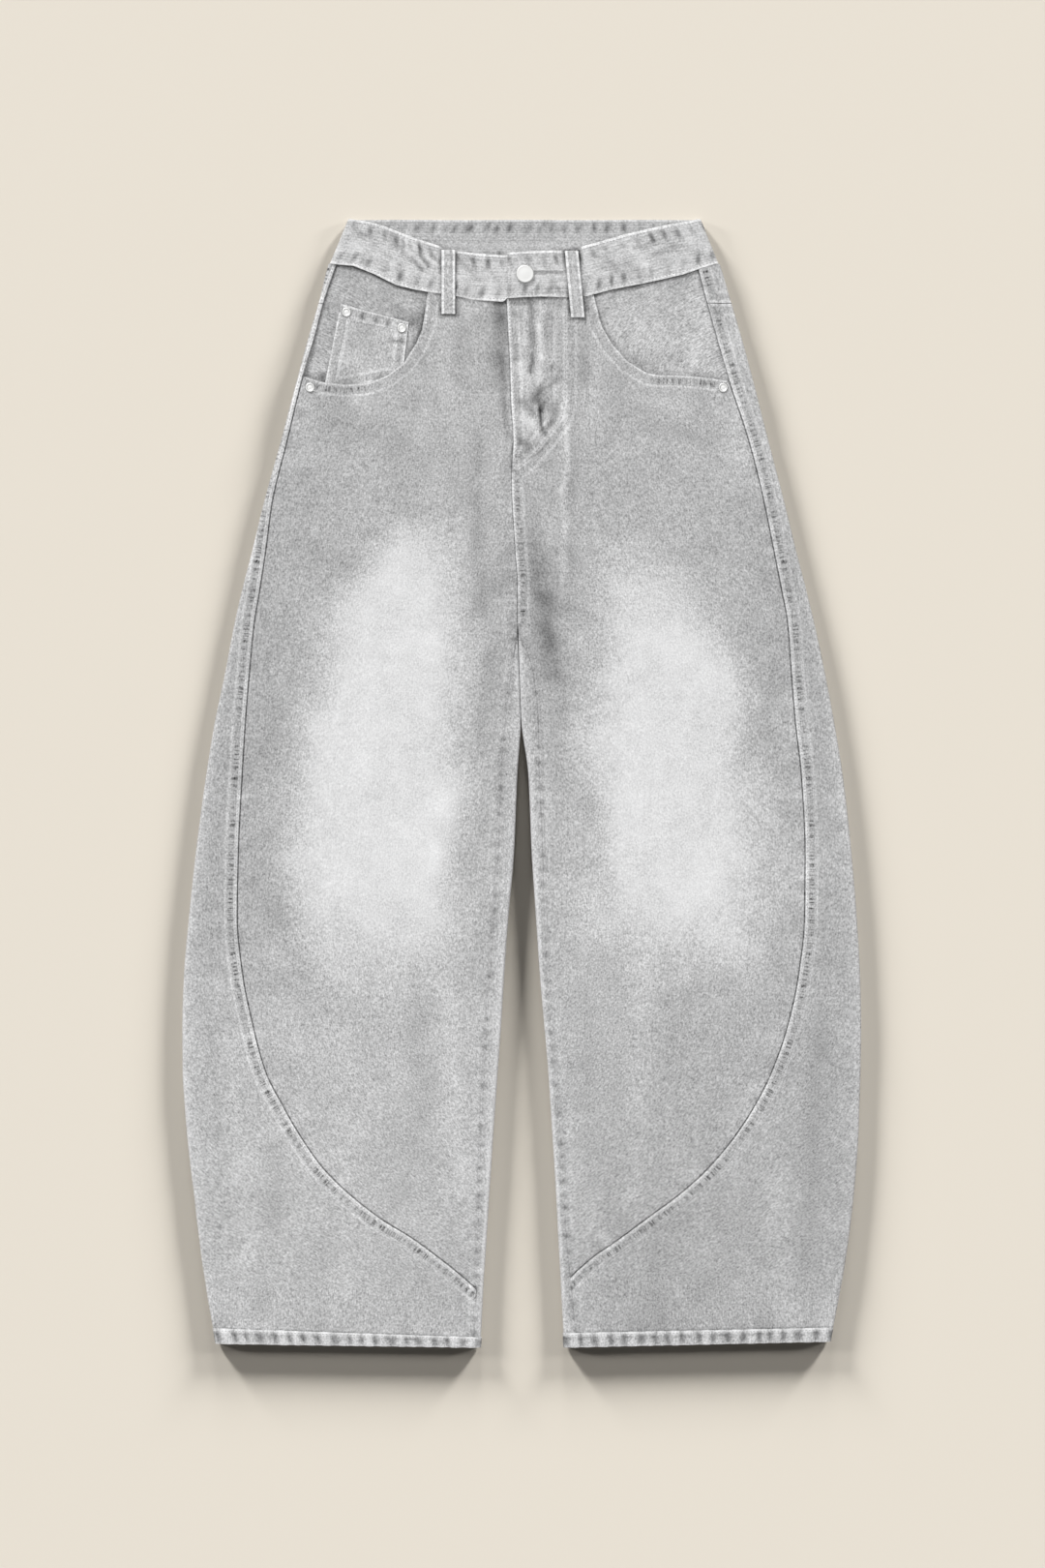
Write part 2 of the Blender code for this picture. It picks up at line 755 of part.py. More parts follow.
def band_sections():
    """List the strip's cross lines as top point, bottom point, height and pucker."""
    sections = []
    for i, row in enumerate(evenly(UNDERLAP_ROWS + BAND_LEFT_ROWS, BAND_FRONT_STEPS)):
        travelled = i * 185.0 / BAND_FRONT_STEPS
        quiet = smooth_step((-row[0] - 12.0) / 15.0) * smooth_step((158.0 + row[0]) / 20.0)
        wave = quiet * math.cos(2 * math.pi * travelled / BAND_PUCKER)
        sections.append((row, BAND_LEVEL, wave))
    left_fold = BAND_LEFT_ROWS[-1]
    right_fold = BAND_RIGHT_ROWS[0]
    radius = (BAND_LEVEL - BAND_UNDER) / 2
    middle = (BAND_LEVEL + BAND_UNDER) / 2
    for i in range(1, BAND_ARC_STEPS):
        angle = math.pi * i / BAND_ARC_STEPS
        reach = radius * math.sin(angle)
        row = (left_fold[0] - reach, left_fold[1], left_fold[2] - reach, left_fold[3])
        sections.append((row, middle + radius * math.cos(angle), 0.0))
    for i in range(BAND_BACK_STEPS + 1):
        t = i / BAND_BACK_STEPS
        row = tuple(mix(a, b, t) for a, b in zip(left_fold, right_fold))
        sections.append((row, BAND_UNDER + under_rise(mix(row[0], row[2], 0.5), 20.0), 0.0))
    for i in range(1, BAND_ARC_STEPS):
        angle = math.pi * i / BAND_ARC_STEPS
        reach = radius * math.sin(angle)
        row = (right_fold[0] + reach, right_fold[1], right_fold[2] + reach, right_fold[3])
        sections.append((row, middle - radius * math.cos(angle), 0.0))
    for i, row in enumerate(evenly(BAND_RIGHT_ROWS, BAND_FRONT_STEPS)):
        travelled = i * 183.0 / BAND_FRONT_STEPS
        quiet = smooth_step((row[0] - 36.0) / 12.0) * smooth_step((162.0 - row[0]) / 20.0)
        wave = quiet * math.cos(2 * math.pi * travelled / BAND_PUCKER)
        sections.append((row, band_level(row[0], True), wave))
    return sections


def make_waistband():
    grid = []
    for row, level, wave in band_sections():
        line = []
        for i in range(BAND_ROWS + 1):
            t = i / BAND_ROWS
            at_edge = 1.0 if i in (0, BAND_ROWS) else 0.0
            x = mix(row[0], row[2], t)
            down = mix(row[1], row[3], t)
            line.append((x, down, level + BAND_PUCKER_HEIGHT * wave * at_edge))
        grid.append(line)
    add_sheet("waistband", grid, BAND_CLOTH)


# Belt loops

def add_strap(name, centre_line, width, thickness):
    """Make a flat strap from its centre line of x, down and height."""
    grid = []
    for x, down, z in centre_line:
        grid.append([(x - width / 2, down, z), (x + width / 2, down, z)])
    add_sheet(name, grid, thickness)


def make_front_loop(side):
    (top_x, top_down), (foot_x, foot_down) = FRONT_LOOPS[side]
    band_top = BAND_LEVEL + BAND_CLOTH / 2 + BAND_PUCKER_HEIGHT
    over_band = band_top + SEAM_GAP + LOOP_CLOTH / 2
    panel_top = top_height(foot_x, foot_down) + CLOTH / 2
    on_panel = panel_top + SEAM_GAP + LOOP_CLOTH / 2 + 0.3
    seam_down = band_bottom(side, foot_x)
    line = []
    for down in (top_down, mix(top_down, seam_down, 0.3), mix(top_down, seam_down, 0.7),
                 seam_down + 1.5, seam_down + 5.0, seam_down + 9.0, foot_down):
        share = (down - top_down) / (foot_down - top_down)
        level = mix(over_band, on_panel, smooth_step((down - seam_down - 1.5) / 7.5))
        line.append((mix(top_x, foot_x, share), down, level))
    add_strap("belt_loop_front_" + SIDE_NAMES[side], line, LOOP_WIDTH, LOOP_CLOTH)


def make_back_loop(name, x):
    height = BACK_LOOP_CLOTH / 2
    line = [(x, mix(*BACK_LOOP_ENDS, i / 2), height) for i in range(3)]
    add_strap("belt_loop_back_" + name, line, LOOP_WIDTH, BACK_LOOP_CLOTH)


# Hems: the turned-up end of each leg, a flattened ring with roped lumps

HEM_TOP_CELLS = HEM_LUMPS * 3
HEM_ARC_CELLS = 4
HEM_UNDER_CELLS = 9
HEM_ROWS = 2


def hem_point(side, place, share):
    """Give a point of the hem's middle surface, round the leg and down its width."""
    lower = HEM_CLOTH / 2
    radius = (TOP_LEVEL - lower) / 2
    middle = (TOP_LEVEL + lower) / 2
    start_down = mix(HEM_EDGES[side][0][0], HEM_EDGES[side][1][0], share)
    outer = leg(side, OUTLINE, start_down) - HEM_CLOTH / 2 + 0.4 - radius
    inner = inner_edge(side, start_down) - CLOTH / 2 + HEM_CLOTH / 2 - 0.4 + radius
    if place <= 1.0:
        out = mix(outer, inner, place)
        wave = math.cos(2 * math.pi * HEM_LUMPS * place)
        rise = HEM_LUMP_HEIGHT * (0.5 - 0.5 * wave) * math.sin(math.pi * share) ** 0.5
        height = TOP_LEVEL + rise
    elif place < 2.0:
        angle = math.pi * (place - 1.0)
        out = inner - radius * math.sin(angle)
        height = middle + radius * math.cos(angle)
    elif place <= 3.0:
        out = mix(inner, outer, place - 2.0)
        height = lower
    else:
        angle = math.pi * (place - 3.0)
        out = outer + radius * math.sin(angle)
        height = middle - radius * math.cos(angle)
    down = mix(hem_edge(side, 0, out), hem_edge(side, 1, out), share)
    return (side * out, down, height)


def make_hem(side):
    places = [i / HEM_TOP_CELLS for i in range(HEM_TOP_CELLS)]
    places += [1.0 + i / HEM_ARC_CELLS for i in range(HEM_ARC_CELLS)]
    places += [2.0 + i / HEM_UNDER_CELLS for i in range(HEM_UNDER_CELLS)]
    places += [3.0 + i / HEM_ARC_CELLS for i in range(HEM_ARC_CELLS)]
    points = []
    faces = []
    width = HEM_ROWS + 1
    for c, place in enumerate(places):
        for r in range(width):
            points.append(hem_point(side, place, r / HEM_ROWS))
    for c in range(len(places)):
        following = (c + 1) % len(places)
        for r in range(HEM_ROWS):
            faces.append([c * width + r, following * width + r, following * width + r + 1, c * width + r + 1])
    name = "hem_" + SIDE_NAMES[side]
    made = add_object(name, points, faces, denim(name))
    turn_outwards(made, 1)
    thicken(made, HEM_CLOTH)


# Button and rivets, turned from a profile of radius and height

BUTTON_PROFILE = (
    (5.6, 0.0), (5.9, 1.4), (8.0, 1.7), (8.3, 2.3), (8.1, 2.9), (7.3, 3.2), (6.6, 2.9), (5.6, 2.7),
    (2.4, 2.9),
)
RIVET_PROFILE = ((4.4, 0.0), (4.4, 0.4), (3.8, 0.9), (2.9, 0.8), (1.6, 1.2))


def add_turned(name, x, down, base, profile, sides):
    """Make a round piece that stands on a height, from its profile."""
    points = []
    for radius, height in profile:
        for i in range(sides):
            angle = 2 * math.pi * i / sides
            points.append((x + radius * math.cos(angle), down + radius * math.sin(angle), base + height))
    faces = []
    for ring in range(len(profile) - 1):
        for i in range(sides):
            j = (i + 1) % sides
            a, b = ring * sides, (ring + 1) * sides
            faces.append([a + i, a + j, b + j, b + i])
    last = (len(profile) - 1) * sides
    faces.append([i for i in range(sides)][::-1])
    faces.append([last + i for i in range(sides)])
    made = add_object(name, points, faces, metal(name))
    turn_outwards(made, 1)
    made.data.set_sharp_from_angle(angle=math.radians(40))


def make_button():
    x, down = BUTTON_PLACE
    base = OVERLAP_LEVEL + BAND_CLOTH / 2 + SEAM_GAP
    add_turned("waist_button", x, down, base, BUTTON_PROFILE, 24)


def highest_near(x, down, radius):
    """Give the highest point of the upper cloth under a round piece."""
    heights = [top_height(x, down)]
    for i in range(8):
        angle = math.pi * i / 4
        heights.append(top_height(x + radius * math.cos(angle), down + radius * math.sin(angle)))
    return max(heights)


def make_rivets():
    for name, (x, down, level) in RIVET_PLACES.items():
        if level is None:
            level = highest_near(x, down, RIVET_RADIUS)
        base = level + CLOTH / 2 + SEAM_GAP
        add_turned(name, x, down, base, RIVET_PROFILE, 12)


def main():
    for old in list(bpy.data.objects):
        bpy.data.objects.remove(old, do_unlink=True)
    for side in (LEFT, RIGHT):
        make_front(side)
        make_back(side)
        make_yoke(side)
        make_facing(side)
        make_back_pocket(side)
        make_front_loop(side)
        make_hem(side)
    make_coin_pocket()
    make_waistband()
    for name, x in BACK_LOOPS.items():
        make_back_loop(name, x)
    make_button()
    make_rivets()


main()
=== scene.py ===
# Balloon-leg five-pocket jeans in light stone-washed denim, laid flat with the front up.
#
# Lengths are in millimetres in the garment's own flat layout: x runs to the right,
# down runs from the top of the waistband, and z is the height over the surface.
# Out is x measured away from the garment's middle, to either side.
# The left leg is the one on the left when the garment is seen from above.

import math

import bpy
import numpy as np
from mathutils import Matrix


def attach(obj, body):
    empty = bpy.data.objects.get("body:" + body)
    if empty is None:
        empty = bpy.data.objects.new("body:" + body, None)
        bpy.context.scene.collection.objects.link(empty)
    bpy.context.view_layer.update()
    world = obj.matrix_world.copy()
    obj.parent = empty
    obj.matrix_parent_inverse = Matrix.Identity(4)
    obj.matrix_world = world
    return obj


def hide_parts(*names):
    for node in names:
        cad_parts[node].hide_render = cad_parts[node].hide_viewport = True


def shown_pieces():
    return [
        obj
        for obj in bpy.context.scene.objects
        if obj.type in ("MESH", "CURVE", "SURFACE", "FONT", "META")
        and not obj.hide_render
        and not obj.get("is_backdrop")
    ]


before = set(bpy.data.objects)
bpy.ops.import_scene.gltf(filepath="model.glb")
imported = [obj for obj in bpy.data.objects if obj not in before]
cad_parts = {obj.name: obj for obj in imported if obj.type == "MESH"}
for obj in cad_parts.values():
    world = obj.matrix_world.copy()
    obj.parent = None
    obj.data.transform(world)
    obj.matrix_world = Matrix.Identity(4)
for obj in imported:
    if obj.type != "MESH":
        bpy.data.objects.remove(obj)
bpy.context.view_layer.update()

LENGTH = 1040.0
CLOTH = 1.2
BAND_CLOTH = 2.2
HEM_CLOTH = 2.4
SEAM_GAP = 0.36
UNDER_LEVEL = CLOTH / 2
TOP_LEVEL = 5.4
BAND_LEVEL = 6.2
BAND_UNDER = BAND_CLOTH / 2
OVERLAP_LEVEL = 8.7
FACING_LEVEL = 3.8
COIN_LEVEL = 5.3
CROTCH = 373.0
CROTCH_STEP = 0.6
WAIST_DEPTH = 40.8
YOKE_SIDE = 78.0
YOKE_CENTRE = 118.0
STITCH_STEP = 1.6
STITCH_LIFT = 0.1
FAR = 500.0
LEFT = -1
RIGHT = 1
SIDE_NAMES = {LEFT: "left", RIGHT: "right"}

# down, outline, side seam, inseam, inner edge
LEG_ROWS = {
    LEFT: (
        (0, 161, 155, 4, 4), (41, 178, 170, 4, 4), (76, 187, 182, 4, 4),
        (110, 197, 191, 4, 4), (151, 208, 203, 4, 4), (204, 222, 216, 4, 4),
        (262, 238, 230, 4, 4), (307, 249, 236, 4, 4), (340, 257.5, 241, 4, 4),
        (373, 265, 246.5, 4, 3.9), (420, 274, 251, 10, 2.4), (463, 283, 254.5, 15, 1),
        (512, 291, 257.5, 19, 4), (583, 300.5, 261, 21.5, 7), (644, 307, 262, 25.5, 12.3),
        (696, 311.5, 257, 29.2, 16), (741, 313, 248, 32, 18.7), (785, 312.8, 236, 34.4, 21.9),
        (815, 311, 221, 36.1, 24), (846, 308.5, 203, 37.4, 26.2), (874, 305.5, 183, 38.4, 28),
        (897, 302.5, 160, 39.1, 29.6), (920, 300, 131, 39.8, 31), (940, 297.5, 99, 40.5, 32.3),
        (960, 295, 72, 41.2, 33.6), (979, 292, 49, 41.8, 35), (986, 291, 42, 42, 35.3),
        (1040, 281.5, 44, 44, 38),
    ),
    RIGHT: (
        (0, 166, 152, -4, -4), (41, 182.5, 161, -4, -4), (76, 193, 170, -4, -4),
        (110, 203, 179.5, -4, -4), (151, 214, 191.5, -4, -4), (204, 227.5, 209, -4, -4),
        (262, 242.5, 223.5, -4, -4), (307, 253.5, 232.5, -4, -4), (340, 262, 239, -4, -4),
        (373, 270, 245, -2, -3.9), (420, 280, 248.5, 11, -2.4), (463, 288, 252, 15.5, -0.4),
        (512, 296, 257.5, 16.5, 6), (583, 304, 261, 19.5, 9), (644, 309, 260.5, 21, 13),
        (696, 312, 255, 23.2, 16.5), (741, 313, 245.5, 26.3, 20.4), (785, 312.5, 230.5, 30.4, 24.2),
        (815, 311.5, 215.5, 33.3, 26.2), (846, 310.5, 195.5, 36.1, 28.2), (874, 308.5, 172, 37.8, 30),
        (897, 306.5, 147, 39, 31.4), (920, 304, 116, 40.3, 32.6), (940, 301.5, 89, 41.5, 33.6),
        (960, 298.5, 61, 43.2, 34.7), (978, 295.5, 45.2, 45.2, 35.7), (1040, 283.5, 51, 51, 39),
    ),
}
OUTLINE, SIDE_SEAM, INSEAM, INNER_EDGE = 1, 2, 3, 4
SEAM_END = {LEFT: 984.0, RIGHT: 975.0}

# down, x of the fly's edge and then of the centre-front seam
CENTRE_ROWS = (
    (60, -14.5), (96, -13), (136, -11), (167, -10), (204, -8),
    (237, -9.5), (307, -6), (336, -4), (373, -4),
)

# down at the outer end and at the inner end of each hem's upper and lower edge
HEM_EDGES = {LEFT: ((1022.5, 1031.0), (1036.0, 1039.5)), RIGHT: ((1022.0, 1027.0), (1034.0, 1039.5))}
HEM_HEIGHT = 13.0
HEM_LUMPS = 18
HEM_LUMP_HEIGHT = 0.8

# x and down of the waistband's top edge, then of its bottom edge
BAND_LEFT_ROWS = (
    (-17, 33.5, -17, 75.6), (-36, 32.5, -43, 74), (-58, 30, -61, 70.5),
    (-73, 26, -78, 68), (-95, 19, -100, 64), (-110, 13.5, -116, 60),
    (-125, 7.5, -137, 49.5), (-140, 3, -155, 42.5), (-156.5, 0.5, -173.5, WAIST_DEPTH),
)
UNDERLAP_ROWS = ((20.0, 31.5, 20.0, 70.5), (-12.0, 33.0, -12.0, 70.8))
BAND_RIGHT_ROWS = (
    (161.5, 0.5, 178, WAIST_DEPTH), (153, 2.5, 166, 44.5), (140, 4.5, 148, 50.5),
    (116, 9.5, 124, 56), (93, 15, 108, 59.5), (76, 20, 84, 64),
    (54, 26, 59, 70.5), (36, 29.5, 43, 71.5), (18, 30, 18, 71),
    (3, 30.5, 3, 71.5), (-13, 31.5, -13, 72.5),
)
BAND_GAP = 0.6
BAND_FOOT = 75.0
BAND_HEIGHT = 42.0
BAND_STEPS = 126
BACK_STEPS = 84
ARC_STEPS = 9
BUTTONHOLE_DOWN = 49.8
BUTTONHOLE_ENDS = (12.0, 38.0)

# x and down along each pocket mouth, from the side seam to the waistband
MOUTH_ROWS = {
    LEFT: ((-203, 145), (-184, 150.5), (-162, 153), (-142, 151.5), (-125, 145),
           (-108, 132), (-96, 113), (-89, 94), (-86.5, 68)),
    RIGHT: ((191, 149.5), (164, 145.5), (140, 144), (126, 144), (115, 142),
            (97, 131), (83, 115), (73, 98), (66, 71)),
}
FACING_TUCK = 16.0
FACING_RISE = {LEFT: 1.5, RIGHT: 0.5}
COIN_CORNERS = ((-167.0, 78.0), (-104.0, 95.0), (-110.0, 146.0), (-183.0, 160.0))
RIVET_PLACES = {
    "rivet_coin_outer": (-161.5, 86.0, COIN_LEVEL),
    "rivet_coin_inner": (-110.5, 100.5, COIN_LEVEL),
    "rivet_pocket_left": (-195.0, 155.5, None),
    "rivet_pocket_right": (185.5, 155.5, None),
}
RIVET_RADIUS = 4.4
BUTTON_PLACE = (3.0, 51.5)

# x and down at the top and at the foot of each front belt loop
FRONT_LOOPS = {LEFT: ((-67.5, 29.0), (-67.5, 88.0)), RIGHT: ((45.8, 30.0), (51.8, 91.0))}
LOOP_WIDTH = 12.5
LOOP_CLOTH = 1.6
BACK_LOOP_CLOTH = 1.0
BACK_LOOPS = {"left": -112.0, "centre": -2.0, "right": 116.0}
BACK_LOOP_ENDS = (1.5, 54.0)
POCKET_CORNERS = ((36.0, 132.0), (166.0, 126.0), (160.0, 262.0), (100.0, 284.0), (42.0, 266.0))
POCKET_CLOTH = 1.1
UNDER_LIFT = 1.6
LIFT_FLAT = 4.0
LIFT_RAMP = 30.0

# Soft folds of the upper layer: x and down of each end, width, height
FOLDS = (
    (-24, 64, -12, 200, 8, -2), (-39, 175, -39, 405, 13, -1.1), (19, 318, 24, 418, 12, -1.9),
    (21, 178, 22, 184, 13, -1), (51, 150, 52, 285, 10, -0.8), (56, 290, 58, 420, 14, 1.1),
    (38, 240, 42, 360, 9, 0.8), (5, 240, 5, 268, 13, -0.7), (-95, 205, -60, 245, 22, -0.7),
    (-120, 330, -118, 640, 60, 0.9), (130, 350, 150, 640, 60, 0.9), (75, 640, 85, 800, 26, -0.7),
    (150, 660, 165, 800, 24, -0.6), (-215, 690, -150, 850, 30, 0.6), (205, 720, 140, 860, 26, 0.6),
    (-90, 760, -120, 950, 30, -0.5), (210, 870, 180, 1000, 26, -0.5),
)

# Smaller creases of the upper layer, in the same columns
CREASES = (
    (7, 76, 10, 106, 3, -0.5), (11, 108, 9, 142, 2.6, -0.45), (17, 80, 18, 128, 3, 0.5),
    (1, 96, 2, 140, 4, 0.3), (28, 84, 28, 112, 2.2, -0.35), (15, 130, 14, 150, 3.4, 0.4),
    (34, 84, 35, 164, 3, 0.35), (17, 158, 12, 168, 3, -0.5), (17, 166, 18, 198, 3.2, -1.2),
    (2, 190, 18, 192, 5, 0.9), (6, 172, 12, 184, 3, -0.5), (-4, 205, 14, 212, 4, -0.5),
    (1, 215, 12, 232, 4, 0.5), (-20, 76, -12, 112, 4, -0.9), (-30, 78, -27, 110, 4, 0.5),
    (-52, 92, -56, 150, 6, -0.4), (-72, 96, -66, 170, 7, 0.4), (60, 96, 58, 150, 6, -0.5),
    (70, 120, 66, 200, 8, 0.4), (-8, 330, -62, 384, 6, -0.4), (-6, 345, -48, 420, 6, 0.35),
    (-2, 300, -34, 330, 5, -0.3), (10, 352, 60, 400, 6, 0.45), (8, 338, 76, 372, 6, -0.4),
    (26, 380, 42, 470, 5, -0.4), (-28, 400, -40, 500, 6, -0.35), (12, 250, 30, 300, 5, 0.35),
    (-150, 168, -100, 190, 9, 0.4), (-170, 190, -110, 214, 9, -0.35), (110, 165, 150, 176, 8, 0.4),
    (120, 190, 175, 205, 9, -0.35), (-205, 300, -150, 322, 10, -0.3), (200, 310, 158, 340, 10, 0.3),
    (-226, 420, -190, 470, 10, 0.35), (236, 430, 204, 500, 10, -0.35), (-60, 520, -88, 640, 12, 0.35),
    (66, 540, 92, 660, 12, -0.35), (-240, 620, -200, 700, 9, -0.3), (240, 610, 214, 700, 9, 0.3),
    (-70, 700, -58, 900, 9, 0.4), (-100, 690, -92, 860, 12, -0.35), (58, 720, 64, 900, 9, -0.4),
    (112, 700, 104, 900, 12, 0.4), (-270, 760, -250, 960, 11, 0.4), (-225, 860, -240, 1010, 11, -0.4),
    (276, 740, 262, 960, 11, -0.4), (232, 880, 246, 1005, 11, 0.35), (-160, 930, -170, 1015, 9, 0.35),
    (120, 930, 128, 1015, 9, -0.35),
)

# Creases of the back, which lies underneath, in the same columns
BACK_CREASES = (
    (-30, 372, -120, 330, 9, 0.5), (-36, 380, -140, 372, 9, 0.4), (28, 372, 118, 326, 9, 0.5),
    (34, 382, 146, 376, 9, 0.45), (-60, 290, -130, 312, 8, 0.4), (70, 292, 140, 308, 8, 0.4),
    (-100, 440, -96, 620, 16, 0.4), (120, 450, 112, 640, 16, 0.4), (-200, 480, -190, 700, 14, 0.35),
    (210, 470, 196, 690, 14, 0.35), (-150, 760, -170, 980, 14, 0.35), (160, 770, 172, 990, 14, 0.35),
)

SEAM_RIDGE = 0.9
RIDGE_WIDTH = 9.0
RIDGE_FADE = 3.0
FLY_RISE = 0.8
FLY_STITCH = 38.0
FLY_FOOT = 215.0
LAYER_CLEARANCE = 1.8

# down, grey tone of the left leg and of the right leg, from 0 to 255 as the eye sees it
TONE_ROWS = (
    (0, 181, 181), (120, 181, 180), (260, 181, 180), (360, 180, 178), (600, 182, 182),
    (800, 189, 178), (900, 187, 175), (1040, 181, 172),
)

# down, x of both edges of each thigh's worn oval, strength
FADE_ROWS = {
    LEFT: ((270, -112, -66, 0), (305, -132, -60, 0.7), (350, -165, -58, 1), (420, -190, -57, 0.95),
           (510, -204, -58, 0.95), (600, -213, -62, 0.95), (660, -208, -66, 0.6), (725, -195, -75, 0)),
    RIGHT: ((285, 78, 130, 0), (330, 74, 152, 0.65), (380, 72, 178, 0.95), (430, 66, 200, 0.95),
            (510, 64, 209, 0.92), (600, 72, 220, 0.9), (650, 76, 224, 0.72), (715, 92, 214, 0)),
}
FADE_TONE = 42.0
FADE_SOFT = 66.0
FOLD_SHADE = {LEFT: 7.0, RIGHT: 5.0}
FACING_TONE = {LEFT: 182.0, RIGHT: 192.0}
# Strength of the painted shadow just inside each pocket mouth, on its facing
FACING_MOUTH_SHADOW = {LEFT: 1.0, RIGHT: 0.35}
HEM_TONE = {LEFT: 214.0, RIGHT: 206.0}
MOUTH_TICKS_OUT = {LEFT: 138.0, RIGHT: 112.0}

# Darker and lighter places of the front, listed one by one: x and down of each end, width, tone
# Many of the dark places are painted shade: in creases, in the wedge beside the fly's edge, under the
# waistband and beside the right belt loop.
SHADES = (
    (-22, 78, -18, 140, 6.5, -34), (-18, 140, -13, 200, 3.6, -34), (-31, 80, -27, 150, 7, -8),
    (-42, 203, -40, 357, 7, -12), (41, 160, 37, 333, 3.2, 20), (47, 170, 45, 330, 5, -8),
    (18, 322, 26, 420, 11, -27), (24, 420, 34, 520, 7, -5), (8, 300, 14, 350, 6, -10),
    (-11, 79, 3, 79, 2.2, -32), (-9, 88, -2, 92, 3.2, -22), (-10, 116, -2, 117, 2.4, -14),
    (-9, 127, -3, 129, 2.2, -16), (6.8, 75, 9.5, 92, 2.6, -40), (9.5, 92, 11, 117, 1.9, -30),
    (11, 124, 8.4, 140, 1.9, -42), (3, 76, 4, 116, 2.2, 16), (-3, 134, 0, 164, 3, 18),
    (2, 132, 6, 158, 3.2, 22), (17, 80, 17, 101, 2.2, 20), (17, 101, 19, 126, 2.6, 24),
    (19, 126, 14, 150, 2.8, 22), (22.5, 82, 22.5, 111, 1.8, -24), (28.4, 84, 28.4, 109, 1.5, -26),
    (25.7, 126, 25.7, 133, 1.4, 26), (27.9, 135, 28.4, 136, 2.2, -36), (31, 146, 24, 155, 2.4, -30),
    (35, 137, 36, 147, 1.8, -22), (17, 157, 11.6, 169, 2.8, -40), (30, 155, 31, 166, 2.4, 18),
    (16, 169, 18.7, 178, 2.3, -66), (18.7, 178, 18.7, 195, 1.9, -84), (22.5, 170, 19, 176, 1.9, -44),
    (21.2, 199, 23.5, 191, 1.6, -52), (13.8, 174, 16, 185, 1.5, 34), (21.6, 179, 21.4, 190, 1.4, 34),
    (28.4, 175, 28.4, 181, 3.2, -36), (26.8, 188, 27, 190, 2.4, -46), (-2, 168, 10, 178, 5, -26),
    (4, 186, 14, 196, 6, 24), (-4, 199, -2, 203, 2.4, -38), (-3, 204, 4, 205, 1.6, -44),
    (4, 206, 4.2, 212, 1.8, -46), (7.3, 221, 17, 211.7, 1.6, -40), (17, 211.7, 22, 203, 1.6, -40),
    (6.2, 209.5, 15, 203, 1.4, -24), (-9.2, 206, -9, 235, 1.2, -44), (-1.9, 206, -2, 300, 1.2, 16),
    (0.4, 208, 0.6, 235, 1, -22), (39, 182, 40, 240, 1.8, 16), (188, 118, 200, 226, 16, 12),
    (-192, 176, -204, 216, 14, 10), (-222, 450, -226, 640, 22, -9), (-22, 345, -32, 440, 13, -8),
    (-98, 120, -88, 134, 4, -16), (58, 76, 59, 83, 3, -44), (-9, 246, -10, 268, 3, 10),
    (10, 250, 15, 300, 6, -8),
    (-86, 74, -60, 80, 5, -12), (20, 76, 34, 78, 4, -30), (-14, 78, 14, 78, 3, -12),
    (-5, 336, -3, 380, 2, -26), (30, 575, 33, 690, 7, -6), (-34, 640, -36, 760, 6, -7),
)


# Small helpers for numbers and curves

def mix(a, b, t):
    return a + (b - a) * t


def smooth_step(t):
    t = np.clip(t, 0.0, 1.0)
    return t * t * (3.0 - 2.0 * t)


def bell(gap, width):
    """Give 1 at no distance, fading to 0 beyond a width."""
    return np.exp(-((gap / width) ** 2))


def curve(rows, column, key_column=0):
    """Make a smooth function of a table's key column through another column."""
    table = np.array(rows, dtype=float)
    table = table[np.argsort(table[:, key_column])]
    keys, values = table[:, key_column], table[:, column]
    spans = np.diff(keys)
    slopes = np.diff(values) / spans
    pulls = np.empty(len(keys))
    pulls[0], pulls[-1] = slopes[0], slopes[-1]
    before, after = slopes[:-1], slopes[1:]
    same = before * after > 0
    pulls[1:-1] = np.where(same, 2 * before * after / np.where(same, before + after, 1.0), 0.0)

    def read(key):
        key = np.clip(key, keys[0], keys[-1])
        i = np.clip(np.searchsorted(keys, key, side="right") - 1, 0, len(keys) - 2)
        t = (key - keys[i]) / spans[i]
        return (
            values[i] * (1 - 3 * t * t + 2 * t ** 3)
            + values[i + 1] * (3 * t * t - 2 * t ** 3)
            + pulls[i] * spans[i] * (t - 2 * t * t + t ** 3)
            + pulls[i + 1] * spans[i] * (t ** 3 - t * t)
        )

    return read


def lengths_along(points):
    """Give the travelled length at each point of a line."""
    return np.concatenate([[0.0], np.cumsum(np.linalg.norm(np.diff(points, axis=0), axis=1))])


def place_along(points, shares):
    """Place points at shares of a line's length."""
    points = np.array(points, dtype=float)
    lengths = lengths_along(points)
    columns = [np.interp(np.asarray(shares) * lengths[-1], lengths, column) for column in points.T]
    return np.stack(columns, axis=-1)


def distance_to_line(x, down, ax, ad, bx, bd):
    dx, dd = bx - ax, bd - ad
    t = np.clip(((x - ax) * dx + (down - ad) * dd) / (dx * dx + dd * dd), 0.0, 1.0)
    return np.hypot(x - ax - t * dx, down - ad - t * dd)


def near_path(x, down, path):
    """Give the distance to a path of points and the travelled length of its nearest place."""
    best = np.full(np.shape(x), 1e9)
    run = np.zeros(np.shape(x))
    travelled = 0.0
    for (ax, ad), (bx, bd) in zip(path, path[1:]):
        dx, dd = bx - ax, bd - ad
        t = np.clip(((x - ax) * dx + (down - ad) * dd) / (dx * dx + dd * dd), 0.0, 1.0)
        gap = np.hypot(x - ax - t * dx, down - ad - t * dd)
        nearer = gap < best
        best = np.where(nearer, gap, best)
        run = np.where(nearer, travelled + t * math.hypot(dx, dd), run)
        travelled += math.hypot(dx, dd)
    return best, run


def rough_line(t, seed):
    """Give smooth random values from -1 to 1 along a line, a new one at each whole number."""
    values = np.random.default_rng(seed).uniform(-1.0, 1.0, 512)
    i = np.floor(t).astype(int)
    return mix(values[i % 512], values[(i + 1) % 512], smooth_step(t - i))


